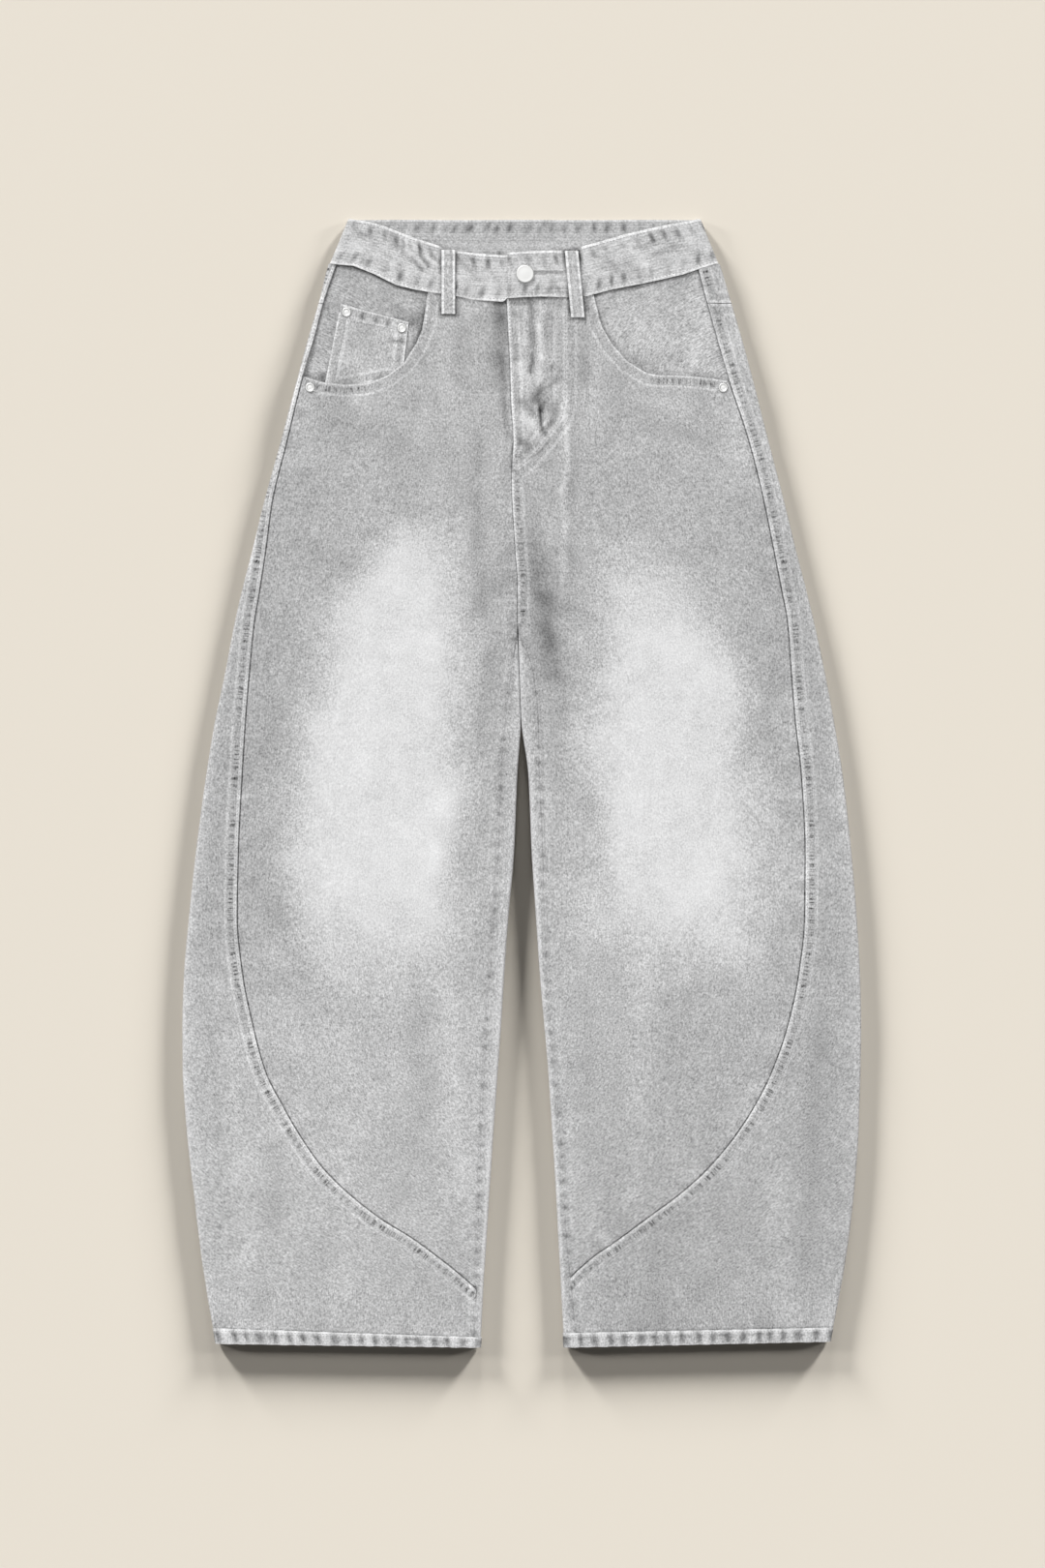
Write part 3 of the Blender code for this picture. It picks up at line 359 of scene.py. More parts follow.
def rough_plane(x, down, size, seed):
    """Give smooth random values from -1 to 1 over the layout."""
    values = np.random.default_rng(seed).uniform(-1.0, 1.0, (256, 256))
    u, v = x / size + 100.0, down / size + 20.0
    i, j = np.floor(u).astype(int), np.floor(v).astype(int)
    s, t = smooth_step(u - i), smooth_step(v - j)
    i, j = i % 255, j % 255
    upper = mix(values[i, j], values[i + 1, j], s)
    lower = mix(values[i, j + 1], values[i + 1, j + 1], s)
    return mix(upper, lower, t)


def puckers(gap, run, reach, pitch, seed):
    """Give the uneven gathers across a sewn line, from -1 to 1 beside it."""
    t = run / pitch
    t = t + 0.6 * rough_line(t * 0.31, seed + 7)
    wave = 0.8 * rough_line(t, seed) + 0.4 * rough_line(t * 2.3, seed + 3)
    return wave * np.exp(-np.abs(gap) / reach)


def beads(run, pitch, seed):
    """Give the dark spots between gathers along a sewn line, from 0 to about 1."""
    t = run / pitch + 0.28 * rough_line(0.6 * run / pitch, seed)
    return np.maximum(0.0, np.cos(2 * math.pi * t)) ** 1.3 * (0.75 + 0.45 * rough_line(t, seed + 1))


def graded(length, fine, coarse, near, both=True):
    """Give shares from 0 to 1 along a length, fine near its start and its end."""
    steps = []
    at = 0.0
    half = length / 2 if both else length
    while at < half:
        steps.append(at)
        at += mix(fine, coarse, min(1.0, at / near))
    steps = np.array(steps) / at
    if both:
        return np.concatenate([steps * 0.5, [0.5], 1.0 - steps[::-1] * 0.5])
    return np.concatenate([steps, [1.0]])


# The leg's outlines and seams

LEG_CURVES = {
    side: {column: curve(rows, column) for column in (OUTLINE, SIDE_SEAM, INSEAM, INNER_EDGE)}
    for side, rows in LEG_ROWS.items()
}
CENTRE_CURVE = curve(CENTRE_ROWS, 1)
TONE_CURVES = {LEFT: curve(TONE_ROWS, 1), RIGHT: curve(TONE_ROWS, 2)}
FADE_CURVES = {side: [curve(rows, column) for column in (1, 2, 3)] for side, rows in FADE_ROWS.items()}


def leg(side, column, down):
    return LEG_CURVES[side][column](down)


def centre_x(down):
    below = mix(-3.9, -0.7, np.clip((down - CROTCH) / 90.0, 0.0, 1.0))
    return np.where(down <= CROTCH, CENTRE_CURVE(down), below)


EDGE_RADIUS = (TOP_LEVEL - UNDER_LEVEL) / 2


def inner_edge(side, down):
    """Give how far out the leg's inner fold lies, clear of the other leg."""
    return np.maximum(leg(side, INNER_EDGE, down), side * centre_x(down) + SEAM_GAP / 2) + CLOTH / 2


def inseam(side, down):
    return np.maximum(leg(side, INSEAM, down), inner_edge(side, down) + EDGE_RADIUS + 0.8)


def seam_slope(side, down):
    step = 2.0
    return (leg(side, SIDE_SEAM, down + step) - leg(side, SIDE_SEAM, down - step)) / (2 * step)


def seam_half_gap(side, down):
    return SEAM_GAP / 2 * np.sqrt(1.0 + seam_slope(side, down) ** 2)


def side_seam(side, down):
    """Give how far out the side seam lies, which meets the inseam near the hem."""
    above = np.maximum(leg(side, SIDE_SEAM, down), inseam(side, down))
    return np.where(down >= SEAM_END[side], inseam(side, down), above)


SEAM_DOWNS = np.linspace(0.0, LENGTH, 521)
SEAM_RUNS = {
    side: lengths_along(np.stack([leg(side, SIDE_SEAM, SEAM_DOWNS), SEAM_DOWNS], axis=-1))
    for side in (LEFT, RIGHT)
}


def seam_place(side, out, down):
    """Give how far a point is outside the side seam, and the seam's travelled length there."""
    held = np.minimum(down, SEAM_END[side] - 6.0)
    slope = seam_slope(side, held)
    stretch = np.sqrt(1.0 + slope ** 2)
    beyond = out - side_seam(side, held) - slope * (down - held)
    run = np.interp(held, SEAM_DOWNS, SEAM_RUNS[side]) + stretch * (down - held) + beyond * slope / stretch
    return beyond / stretch, run


def hem_edge(side, which, out):
    outer, inner = HEM_EDGES[side][which]
    return mix(inner, outer, np.clip((out - 40.0) / 245.0, 0.0, 1.0))


def band_rows(side):
    return BAND_LEFT_ROWS if side == LEFT else BAND_RIGHT_ROWS


def band_bottom(side, x):
    """Give the down of the front waistband's lower edge."""
    rows = np.array(sorted(band_rows(side), key=lambda row: row[2]))
    return np.interp(x, rows[:, 2], rows[:, 3])


def mouth_line(side):
    """Give the pocket mouth from the side seam to the seam of the waistband."""
    points = list(MOUTH_ROWS[side])
    start_down = points[0][1]
    out = side_seam(side, start_down) - seam_half_gap(side, start_down)
    points[0] = (float(side * out), start_down)
    end_x = points[-1][0]
    points[-1] = (end_x, float(band_bottom(side, end_x)) + BAND_GAP)
    return points


# Heights of the two layers

def box_distance(x, down, low_x, high_x, low_down, high_down):
    dx = np.maximum(np.maximum(low_x - x, 0.0), x - high_x)
    dd = np.maximum(np.maximum(low_down - down, 0.0), down - high_down)
    return np.hypot(dx, dd)


def lift_boxes():
    """List the places on the underside where a pocket or a loop lies beneath."""
    outs = [corner[0] for corner in POCKET_CORNERS]
    downs = [corner[1] for corner in POCKET_CORNERS]
    boxes = []
    for side in (LEFT, RIGHT):
        ends = sorted((side * min(outs), side * max(outs)))
        boxes.append((ends[0], ends[1], min(downs), max(downs)))
    for x in BACK_LOOPS.values():
        boxes.append((x - LOOP_WIDTH / 2, x + LOOP_WIDTH / 2, *BACK_LOOP_ENDS))
    return boxes


LIFT_BOXES = lift_boxes()


def under_rise(x, down):
    gap = np.full(np.broadcast(x, down).shape, 1e9)
    for box in LIFT_BOXES:
        gap = np.minimum(gap, box_distance(x, down, *box))
    return UNDER_LIFT * (1.0 - smooth_step((gap - LIFT_FLAT) / LIFT_RAMP))


def soft_lines(table, x, down):
    total = np.zeros(np.broadcast(x, down).shape)
    for ax, ad, bx, bd, width, height in table:
        gap = distance_to_line(x, down, ax, ad, bx, bd)
        total = total + height * bell(gap, width)
    return total


def uneven_lines(table, x, down):
    """Give listed lines that waver and swell along their length."""
    shifted = x + 2.2 * rough_plane(x * 0.4, down, 17.0, 201) + 0.8 * rough_plane(x, down, 6.0, 202)
    moved = down + 3.0 * rough_plane(x, down, 21.0, 203)
    return soft_lines(table, shifted, moved) * (1.0 + 0.5 * rough_plane(x, down, 13.0, 204))


def under_height(x, down):
    """Give the lower layer's height, which touches the surface apart from shallow hollows."""
    hollows = np.maximum(0.0, soft_lines(BACK_CREASES, x, down))
    return UNDER_LEVEL + under_rise(x, down) + hollows


def top_height(x, down):
    height = TOP_LEVEL + soft_lines(FOLDS, x, down)
    for side in (LEFT, RIGHT):
        near, _ = near_path(x, down, MOUTH_ROWS[side])
        rise = FACING_RISE[side] * (1.0 - smooth_step((near - FACING_TUCK - 4.0) / 30.0))
        height = height + np.where(x * side > 0, rise, 0.0)
    foot = FLY_FOOT - 0.02 * np.maximum(0.0, x) ** 2
    beyond = np.maximum(x - FLY_STITCH, down - foot)
    fly = FLY_RISE * (1.0 - smooth_step(beyond / 6.0))
    height = height + np.where(x > centre_x(down), fly, 0.0)
    return np.maximum(height, UNDER_LEVEL + under_rise(x, down) + LAYER_CLEARANCE)


def ridge_height(side, out, down):
    """Give the rise of the thick, roped strip beside the side seam."""
    beyond, run = seam_place(side, out, down)
    fade = 1.0 - smooth_step((down - SEAM_END[side] - 8.0) / 12.0)
    rope = 1.0 + 0.45 * rough_line((run + 0.6 * beyond) / 5.5, 40 + side) * smooth_step(beyond / 3.0)
    return SEAM_RIDGE * fade * rope * (1.0 - smooth_step((beyond - RIDGE_WIDTH) / RIDGE_FADE))


def crotch_fade(down):
    return smooth_step((down - CROTCH + 8.0) / 16.0)


def gathers(side, out, down):
    """Give the fine relief of the upper layer near its sewn lines, in millimetres."""
    x = side * out
    gap, run = seam_place(side, out, down)
    total = 0.5 * puckers(gap, run, 7.0, 8.5, 11 + side)
    below = crotch_fade(down)
    inner_gap = out - inseam(side, down)
    total = total + 0.42 * below * puckers(inner_gap, down, 6.5, 7.5, 21 + side)
    centre_gap = side * (x - centre_x(down))
    total = total + 0.36 * (1 - below) * puckers(centre_gap, down, 6.0, 7.0, 31 + side)
    waist_gap = np.maximum(0.0, down - band_bottom(side, x))
    total = total + 0.6 * puckers(waist_gap, x, 13.0, 11.0, 41 + side)
    mouth_gap, mouth_run = near_path(x, down, MOUTH_ROWS[side])
    total = total + 0.45 * puckers(mouth_gap, mouth_run, 6.0, 7.5, 51 + side)
    hem_gap = np.maximum(0.0, hem_edge(side, 0, out) - down)
    total = total + 0.55 * puckers(hem_gap, out, 9.0, 9.5, 61 + side)
    return total


def seam_dip(side, out, down):
    """Give how far the cloth turns down into its seams."""
    gap, _ = seam_place(side, out, down)
    dip = bell(gap, 1.1) * np.where(down < SEAM_END[side] - 4, 1.0, 0.0)
    inner_gap = out - inseam(side, down)
    dip = np.maximum(dip, 0.6 * bell(inner_gap, 1.4) * crotch_fade(down))
    return -0.4 * dip


def fine_relief(side, out, down):
    """Give the creases, gathers and unevenness of the upper layer."""
    x = side * out
    total = 1.4 * uneven_lines(CREASES, x, down) + gathers(side, out, down) + seam_dip(side, out, down)
    total = total + 0.22 * rough_plane(x, down, 46.0, 71) + 0.12 * rough_plane(x, down, 19.0, 72)
    return total


def upper_layer(side, out, down, is_strip):
    """Give the height of the upper layer's middle surface."""
    x = side * out
    height = top_height(x, down) + fine_relief(side, out, down)
    if is_strip:
        height = height + ridge_height(side, out, down)
    return np.maximum(height, under_height(x, down) + LAYER_CLEARANCE)


# Wash: grey tones worn into the cloth, and painted shade and shadow

def worn_oval(side, x, down):
    left_curve, right_curve, strength_curve = FADE_CURVES[side]
    wobble = 9.0 * rough_plane(x, down, 60.0, 81) + 3.0 * rough_plane(x, down, 17.0, 82)
    left_edge = smooth_step((x + wobble - left_curve(down)) / FADE_SOFT + 0.5)
    right_edge = smooth_step((right_curve(down) - x + wobble) / FADE_SOFT + 0.5)
    return strength_curve(down + wobble) * left_edge * right_edge


def loop_painted_shadow(side, x, down):
    """Give the painted shadow beside a front belt loop, a dark soft edge."""
    (top_x, top_down), (foot_x, foot_down) = FRONT_LOOPS[side]
    centre = mix(top_x, foot_x, np.clip((down - top_down) / (foot_down - top_down), 0.0, 1.0))
    gap = np.maximum(np.abs(x - centre) - LOOP_WIDTH / 2, down - foot_down)
    waist = smooth_step((down - 46.0) / 8.0) * smooth_step((72.0 - down) / 6.0)
    uneven = 0.8 + 0.35 * rough_line(down / 6.0, 88 + side)
    return -80.0 * (1.0 - 0.6 * waist) * uneven * np.exp(-(np.maximum(0.0, gap + 0.4) / 3.2) ** 3)


def band_painted_shadow(side, x, down):
    """Give the painted shadow below the waistband, a dark uneven line."""
    below = down - band_bottom(side, x) - 1.2
    return -62.0 * bell(below, 1.6) * (0.9 + 0.5 * rough_line(x / 7.0, 96 + side))


def front_tone(side, out, down, relief):
    x = side * out
    tone = TONE_CURVES[side](down) + FADE_TONE * worn_oval(side, x, down)
    edge = leg(side, OUTLINE, down) - out
    tone = tone - FOLD_SHADE[side] * bell(edge - 22.0, 26.0)
    tone = tone + 7.0 * bell(edge, 5.0)
    # Painted shade round the crotch, where the cloth lies in a trough.
    crotch = np.exp(-((x - 12.0) / 30.0) ** 2 - ((down - 350.0) / 62.0) ** 2)
    tone = tone - 10.0 * crotch
    inner_gap = out - inseam(side, down)
    below = crotch_fade(down)
    tone = tone - 42.0 * below * beads(down, 12.5, 98 + side) * bell(inner_gap, 3.0)
    beside = 9.0 * bell(inner_gap + 6.0, 1.8) + 7.0 * bell(inner_gap - 5.5, 2.0)
    tone = tone + below * beside
    tone = tone + 30.0 * gathers(side, out, down) + 16.0 * uneven_lines(CREASES, x, down) + 3.0 * relief
    tone = tone + 1.05 * uneven_lines(SHADES, x, down) + loop_painted_shadow(side, x, down)
    tone = tone + band_painted_shadow(side, x, down) * smooth_step((leg(side, SIDE_SEAM, down) + 8.0 - out) / 8.0)
    if side == RIGHT:
        edge_line = bell(x - centre_x(down) - 1.9, 1.2) * (1.0 - below)
        tone = tone + mix(38.0, 14.0, smooth_step((down - 205.0) / 20.0)) * edge_line
        tone = tone + 9.0 * bell(out - 52.0, 22.0) * smooth_step((down - 520.0) / 120.0)
    tone = tone + 4.5 * rough_plane(x, down, 28.0, 91) + 4.5 * rough_plane(x, down, 9.0, 92)
    return tone


def back_tone(side, out, down):
    x = side * out
    tone = TONE_CURVES[side](down) - 2.0
    tone = tone + 0.45 * FADE_TONE * worn_oval(side, x, down + 20.0)
    tone = tone + 10.0 * soft_lines(BACK_CREASES, x, down)
    seat = np.exp(-((out - 100.0) / 62.0) ** 2 - ((down - 215.0) / 80.0) ** 2)
    tone = tone + 9.0 * seat
    edge = leg(side, OUTLINE, down) - out
    tone = tone + 7.0 * bell(edge, 5.0)
    tone = tone + 4.0 * rough_plane(x, down, 26.0, 93) + 3.0 * rough_plane(x, down, 9.0, 94)
    return tone


def to_light(tone):
    """Turn a grey tone as the eye sees it into reflected light."""
    share = np.clip(tone, 20.0, 250.0) / 255.0
    return ((share + 0.055) / 1.055) ** 2.4


# Node groups and finishes

def new_group(name, inputs, outputs):
    tree = bpy.data.node_groups.new(name, "ShaderNodeTree")
    for label, value in inputs:
        socket = tree.interface.new_socket(label, in_out="INPUT", socket_type="NodeSocketFloat")
        socket.default_value = value
    for label in outputs:
        tree.interface.new_socket(label, in_out="OUTPUT", socket_type="NodeSocketFloat")
    return tree, tree.nodes.new("NodeGroupInput"), tree.nodes.new("NodeGroupOutput")


def connect(tree, value, socket):
    """Link a socket, or set a plain number on it."""
    if isinstance(value, (int, float)):
        socket.default_value = value
    else:
        tree.links.new(value, socket)


def maths(tree, operation, first, second=None):
    node = tree.nodes.new("ShaderNodeMath")
    node.operation = operation
    connect(tree, first, node.inputs[0])
    if second is not None:
        connect(tree, second, node.inputs[1])
    return node.outputs[0]


def times(tree, first, second):
    return maths(tree, "MULTIPLY", first, second)


def plus(tree, first, second):
    return maths(tree, "ADD", first, second)


def ramp(tree, value, low, high, to_low=0.0, to_high=1.0):
    """Map a value smoothly from one span to another."""
    node = tree.nodes.new("ShaderNodeMapRange")
    node.interpolation_type = "SMOOTHSTEP"
    ends = {"Value": value, "From Min": low, "From Max": high, "To Min": to_low, "To Max": to_high}
    for label, entry in ends.items():
        connect(tree, entry, node.inputs[label])
    return node.outputs["Result"]


def between(tree, value, start, rise, fall, end):
    """Give 1 between two values, with soft ends."""
    up = ramp(tree, value, start, rise)
    downward = ramp(tree, value, fall, end, 1.0, 0.0)
    return times(tree, up, downward)


def noise(tree, scale, detail, vector=None, along_line=None, roughness=0.55):
    node = tree.nodes.new("ShaderNodeTexNoise")
    node.inputs["Scale"].default_value = scale
    node.inputs["Detail"].default_value = detail
    node.inputs["Roughness"].default_value = roughness
    if along_line is not None:
        node.noise_dimensions = "1D"
        tree.links.new(along_line, node.inputs["W"])
    if vector is not None:
        tree.links.new(vector, node.inputs["Vector"])
    return node.outputs[0]


def make_seam_wear_and_shade():
    """Group: light and dark lines and short marks along a sewn edge, from its distance and run; the dark line
    on the edge itself is painted shade in the seam, and partly dirt.
    """
    tree, start, end = new_group(
        "seam wear and shade", [("Edge", 50.0), ("Run", 0.0), ("Strength", 1.0), ("Ticks", 1.0)], ["Shade", "Height"]
    )
    edge, run, strength = start.outputs["Edge"], start.outputs["Run"], start.outputs["Strength"]
    marks = ramp(tree, noise(tree, 0.3, 2.0, along_line=run, roughness=0.7), 0.46, 0.60)
    patches = ramp(tree, noise(tree, 0.03, 1.0, along_line=run), 0.36, 0.62, 0.4, 1.0)
    for share in (patches, start.outputs["Ticks"], between(tree, edge, 3.0, 5.0, 7.2, 10.4)):
        marks = times(tree, marks, share)
    breaks = ramp(tree, noise(tree, 0.35, 1.0, along_line=run), 0.34, 0.56, 0.5, 1.0)
    inner_line = times(tree, between(tree, edge, 0.5, 1.3, 2.8, 4.2), breaks)
    outer_line = times(tree, between(tree, edge, 9.0, 10.4, 11.6, 13.4), breaks)
    # The dark line right on the sewn edge is painted shade in the seam's gap, and partly dirt.
    groove_dirt_and_shade = ramp(tree, maths(tree, "ABSOLUTE", edge), 0.25, 1.1, 1.0, 0.0)
    light = plus(tree, times(tree, inner_line, 0.5), times(tree, outer_line, 0.34))
    dark = plus(tree, times(tree, marks, 0.62), times(tree, groove_dirt_and_shade, 0.6))
    shade = times(tree, maths(tree, "SUBTRACT", light, dark), strength)
    tree.links.new(shade, end.inputs["Shade"])
    height = maths(tree, "SUBTRACT", times(tree, light, 1.6), times(tree, marks, 0.8))
    tree.links.new(times(tree, height, strength), end.inputs["Height"])
    return tree


def make_weave():
    """Group: twill lines, slubs and the grain of the stone wash."""
    tree, start, end = new_group(
        "washed weave", [("Grain", 1.0), ("Twill", 1.0)], ["Shade", "Height"]
    )
    spots = tree.nodes.new("ShaderNodeTexCoord").outputs["Object"]
    weave = tree.nodes.new("ShaderNodeUVMap")
    weave.uv_map = "cloth"

    def threads(turn, across, along, detail):
        placed = tree.nodes.new("ShaderNodeMapping")
        placed.inputs["Rotation"].default_value = (0.0, 0.0, math.radians(turn))
        placed.inputs["Scale"].default_value = (across, along, 1.0)
        tree.links.new(weave.outputs["UV"], placed.inputs["Vector"])
        return noise(tree, 1.0, detail, vector=placed.outputs["Vector"])

    twill = threads(-58.0, 900.0, 300.0, 1.0)
    slubs = threads(0.0, 650.0, 24.0, 2.0)
    fine = noise(tree, 560.0, 1.0, vector=spots, roughness=0.6)
    middle = noise(tree, 190.0, 2.0, vector=spots)
    cloud = noise(tree, 60.0, 2.0, vector=spots)
    total = times(tree, maths(tree, "SUBTRACT", fine, 0.5), 1.3)
    for texture, amount in ((middle, 0.26), (cloud, 0.14), (slubs, 0.3), (twill, 1.05)):
        part = times(tree, maths(tree, "SUBTRACT", texture, 0.5), amount)
        total = plus(tree, total, part)
    tree.links.new(times(tree, total, start.outputs["Grain"]), end.inputs["Shade"])
    bumps = plus(tree, times(tree, twill, start.outputs["Twill"]), times(tree, fine, 0.6))
    tree.links.new(bumps, end.inputs["Height"])
    return tree


SEAM_WEAR_AND_SHADE = make_seam_wear_and_shade()
WEAVE = make_weave()


def use_group(tree, group):
    node = tree.nodes.new("ShaderNodeGroup")
    node.node_tree = group
    return node


def read_attribute(tree, name):
    node = tree.nodes.new("ShaderNodeAttribute")
    node.attribute_name = name
    return node.outputs["Fac"]


def make_denim(name, grain):
    """Make a washed denim whose tone and seam marks come from the cloth's attributes."""
    made = bpy.data.materials.new(name)
    made.use_nodes = True
    tree = made.node_tree
    shader = tree.nodes["Principled BSDF"]
    weave = use_group(tree, WEAVE)
    weave.inputs["Grain"].default_value = grain
    seam = use_group(tree, SEAM_WEAR_AND_SHADE)
    for label, attribute in (("Edge", "edge"), ("Run", "run"), ("Strength", "seam"), ("Ticks", "ticks")):
        tree.links.new(read_attribute(tree, attribute), seam.inputs[label])
    tone = read_attribute(tree, "tone")
    worn = ramp(tree, tone, 0.52, 0.76, 1.0, 0.36)
    shade = times(tree, weave.outputs["Shade"], worn)
    shade = plus(tree, shade, seam.outputs["Shade"])
    light = times(tree, tone, plus(tree, shade, 1.0))
    colour = tree.nodes.new("ShaderNodeCombineColor")
    for channel, tint in (("Red", 1.0), ("Green", 1.0), ("Blue", 1.003)):
        tree.links.new(times(tree, light, tint), colour.inputs[channel])
    tree.links.new(colour.outputs[0], shader.inputs["Base Color"])
    shader.inputs["Roughness"].default_value = 0.92
    shader.inputs["Specular IOR Level"].default_value = 0.15
    shader.inputs["Sheen Weight"].default_value = 0.06
    height = plus(tree, weave.outputs["Height"], times(tree, seam.outputs["Height"], 2.0))
    bump = tree.nodes.new("ShaderNodeBump")
    bump.inputs["Strength"].default_value = 0.55
    bump.inputs["Distance"].default_value = 0.0003
    tree.links.new(height, bump.inputs["Height"])
    tree.links.new(bump.outputs["Normal"], shader.inputs["Normal"])
    return made


def make_plain(name, colour, roughness, metallic):
    made = bpy.data.materials.new(name)
    made.use_nodes = True
    shader = made.node_tree.nodes["Principled BSDF"]
    shader.inputs["Base Color"].default_value = (*colour, 1.0)
    shader.inputs["Roughness"].default_value = roughness
    shader.inputs["Metallic"].default_value = metallic
    return made


DENIM = make_denim("washed denim", 1.0)
FACING_DENIM = make_denim("less worn denim", 1.1)
THREAD = make_plain("grey thread", (0.50, 0.50, 0.50), 0.8, 0.0)
METAL = make_plain("pale metal", (0.8, 0.8, 0.79), 0.5, 1.0)


# Mesh building

def to_world(x, down, z):
    return np.stack([x / 1000.0, (LENGTH / 2 - down) / 1000.0, z / 1000.0], axis=-1)


def add_object(name, mesh, finish):
    mesh.materials.append(finish)
    mesh.shade_smooth()
    made = bpy.data.objects.new(name, mesh)
    bpy.context.scene.collection.objects.link(made)
    return made


def add_grid(name, x, down, z, marks, valid=None, ring=False, finish=DENIM):
    """Make a cloth surface from rows of points and its attributes, with a map of its weave."""
    use = np.ones(x.shape, dtype=bool) if valid is None else valid
    number = np.full(x.shape, -1)
    number[use] = np.arange(use.sum())
    wide = np.concatenate([number, number[:, :1]], axis=1) if ring else number
    quads = np.stack([wide[:-1, :-1], wide[:-1, 1:], wide[1:, 1:], wide[1:, :-1]], axis=-1).reshape(-1, 4)
    quads = quads[(quads >= 0).all(axis=1)]
    points = to_world(x, down, z)
    placed = points[use]
    normals = np.cross(placed[quads[:, 2]] - placed[quads[:, 0]], placed[quads[:, 3]] - placed[quads[:, 1]])
    highest = np.argmax(placed[quads].mean(axis=1)[:, 2])
    if normals[highest, 2] < 0:
        quads = quads[:, ::-1]
    mesh = bpy.data.meshes.new(name)
    mesh.from_pydata(placed.tolist(), [], quads.tolist())
    for label, values in marks.items():
        values = np.broadcast_to(np.asarray(values, dtype=np.float32), x.shape)[use]
        mesh.attributes.new(label, "FLOAT", "POINT").data.foreach_set("value", np.ascontiguousarray(values))
    across = np.linalg.norm(np.diff(points, axis=1), axis=2)
    across = np.concatenate([np.zeros((len(points), 1)), np.cumsum(across, axis=1)], axis=1)
    weave = np.stack([across[use], points[..., 1][use]], axis=-1)
    corners = np.empty(len(mesh.loops), dtype=np.int64)
    mesh.loops.foreach_get("vertex_index", corners)
    layer = mesh.uv_layers.new(name="cloth")
    layer.data.foreach_set("uv", weave[corners].astype(np.float32).ravel())
    area = float(np.linalg.norm(normals, axis=1).sum() / 2)
    return add_object(name, mesh, finish), area


def thicken(made, thickness, rounding=0.0):
    wall = made.modifiers.new("wall", "SOLIDIFY")
    wall.thickness = thickness / 1000.0
    wall.offset = 0.0
    if rounding:
        rim = made.modifiers.new("rounded rim", "BEVEL")
        rim.width = rounding / 1000.0
        rim.segments = 2
        rim.limit_method = "ANGLE"
        rim.angle_limit = math.radians(50)


def finish_cloth(made, node, pieces=()):
    """Attach a cloth piece and its extra pieces to the root, and hide the part it replaces."""
    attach(made, "root")
    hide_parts(node)
    for piece in pieces:
        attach(piece, "root")


def nearest(lines):
    """Pick the nearest of several sewn lines: distance, run, strength and share of its short marks."""
    shape = lines[0][0].shape
    columns = [np.stack([np.broadcast_to(value, shape) for value in column]) for column in zip(*lines)]
    pick = np.abs(columns[0]).argmin(axis=0)[None]
    labels = ("edge", "run", "seam", "ticks")
    return {label: np.take_along_axis(column, pick, axis=0)[0] for label, column in zip(labels, columns)}


# Stitches: paths of points that a node tree turns into rows of short threads

def make_stitch_tree():
    tree = bpy.data.node_groups.new("rows of stitches", "GeometryNodeTree")
    tree.interface.new_socket("Geometry", in_out="INPUT", socket_type="NodeSocketGeometry")
    for label, value in (("Pitch", 0.0032), ("Length", 0.0012), ("Width", 0.00033), ("Height", 0.0003)):
        socket = tree.interface.new_socket(label, in_out="INPUT", socket_type="NodeSocketFloat")
        socket.default_value = value
    tree.interface.new_socket("Finish", in_out="INPUT", socket_type="NodeSocketMaterial")
    tree.interface.new_socket("Geometry", in_out="OUTPUT", socket_type="NodeSocketGeometry")
    start = tree.nodes.new("NodeGroupInput")
    end = tree.nodes.new("NodeGroupOutput")
    lines = tree.nodes.new("GeometryNodeMeshToCurve")
    spread = tree.nodes.new("GeometryNodeResampleCurve")
    spread.mode = "LENGTH"
    thread = tree.nodes.new("GeometryNodeMeshIcoSphere")
    thread.inputs["Subdivisions"].default_value = 1
    thread.inputs["Radius"].default_value = 1.0
    size = tree.nodes.new("ShaderNodeCombineXYZ")
    tangent = tree.nodes.new("GeometryNodeInputTangent")
    turn = tree.nodes.new("FunctionNodeAlignRotationToVector")
    turn.axis = "X"
    place = tree.nodes.new("GeometryNodeInstanceOnPoints")
    real = tree.nodes.new("GeometryNodeRealizeInstances")
    smooth = tree.nodes.new("GeometryNodeSetShadeSmooth")
    paint = tree.nodes.new("GeometryNodeSetMaterial")
    for source, output, target, entry in (
        (start, "Geometry", lines, "Mesh"), (lines, "Curve", spread, "Curve"),
        (start, "Pitch", spread, "Length"), (spread, "Curve", place, "Points"),
        (thread, "Mesh", place, "Instance"), (tangent, "Tangent", turn, "Vector"),
        (turn, "Rotation", place, "Rotation"), (start, "Length", size, "X"),
        (start, "Width", size, "Y"), (start, "Height", size, "Z"), (size, "Vector", place, "Scale"),
        (place, "Instances", real, "Geometry"), (real, "Geometry", smooth, "Geometry"),
        (smooth, "Geometry", paint, "Geometry"), (start, "Finish", paint, "Material"),
        (paint, "Geometry", end, "Geometry"),
    ):
        tree.links.new(source.outputs[output], target.inputs[entry])
    return tree


STITCH_TREE = make_stitch_tree()


def add_stitches(name, paths, pitch=3.2, length=1.25, width=0.34):
    """Sew rows of stitches along paths of x, down and height."""
    points = []
    edges = []
    for x, down, z in paths:
        first = len(points)
        placed = to_world(*np.broadcast_arrays(x, down, z)).tolist()
        points.extend(placed)
        edges.extend((first + i, first + i + 1) for i in range(len(placed) - 1))
    mesh = bpy.data.meshes.new(name)
    mesh.from_pydata(points, edges, [])
    made = bpy.data.objects.new(name, mesh)
    bpy.context.scene.collection.objects.link(made)
    sewing = made.modifiers.new("sewing", "NODES")
    sewing.node_group = STITCH_TREE
    chosen = {"Pitch": pitch / 1000.0, "Length": length / 1000.0, "Width": width / 1000.0, "Finish": THREAD}
    for socket in STITCH_TREE.interface.items_tree:
        if socket.in_out == "INPUT" and socket.name in chosen:
            sewing[socket.identifier] = chosen[socket.name]
    graph = bpy.context.evaluated_depsgraph_get()
    sewn = bpy.data.meshes.new_from_object(made.evaluated_get(graph))
    made.modifiers.clear()
    made.data = sewn
    bpy.data.meshes.remove(mesh)
    return made


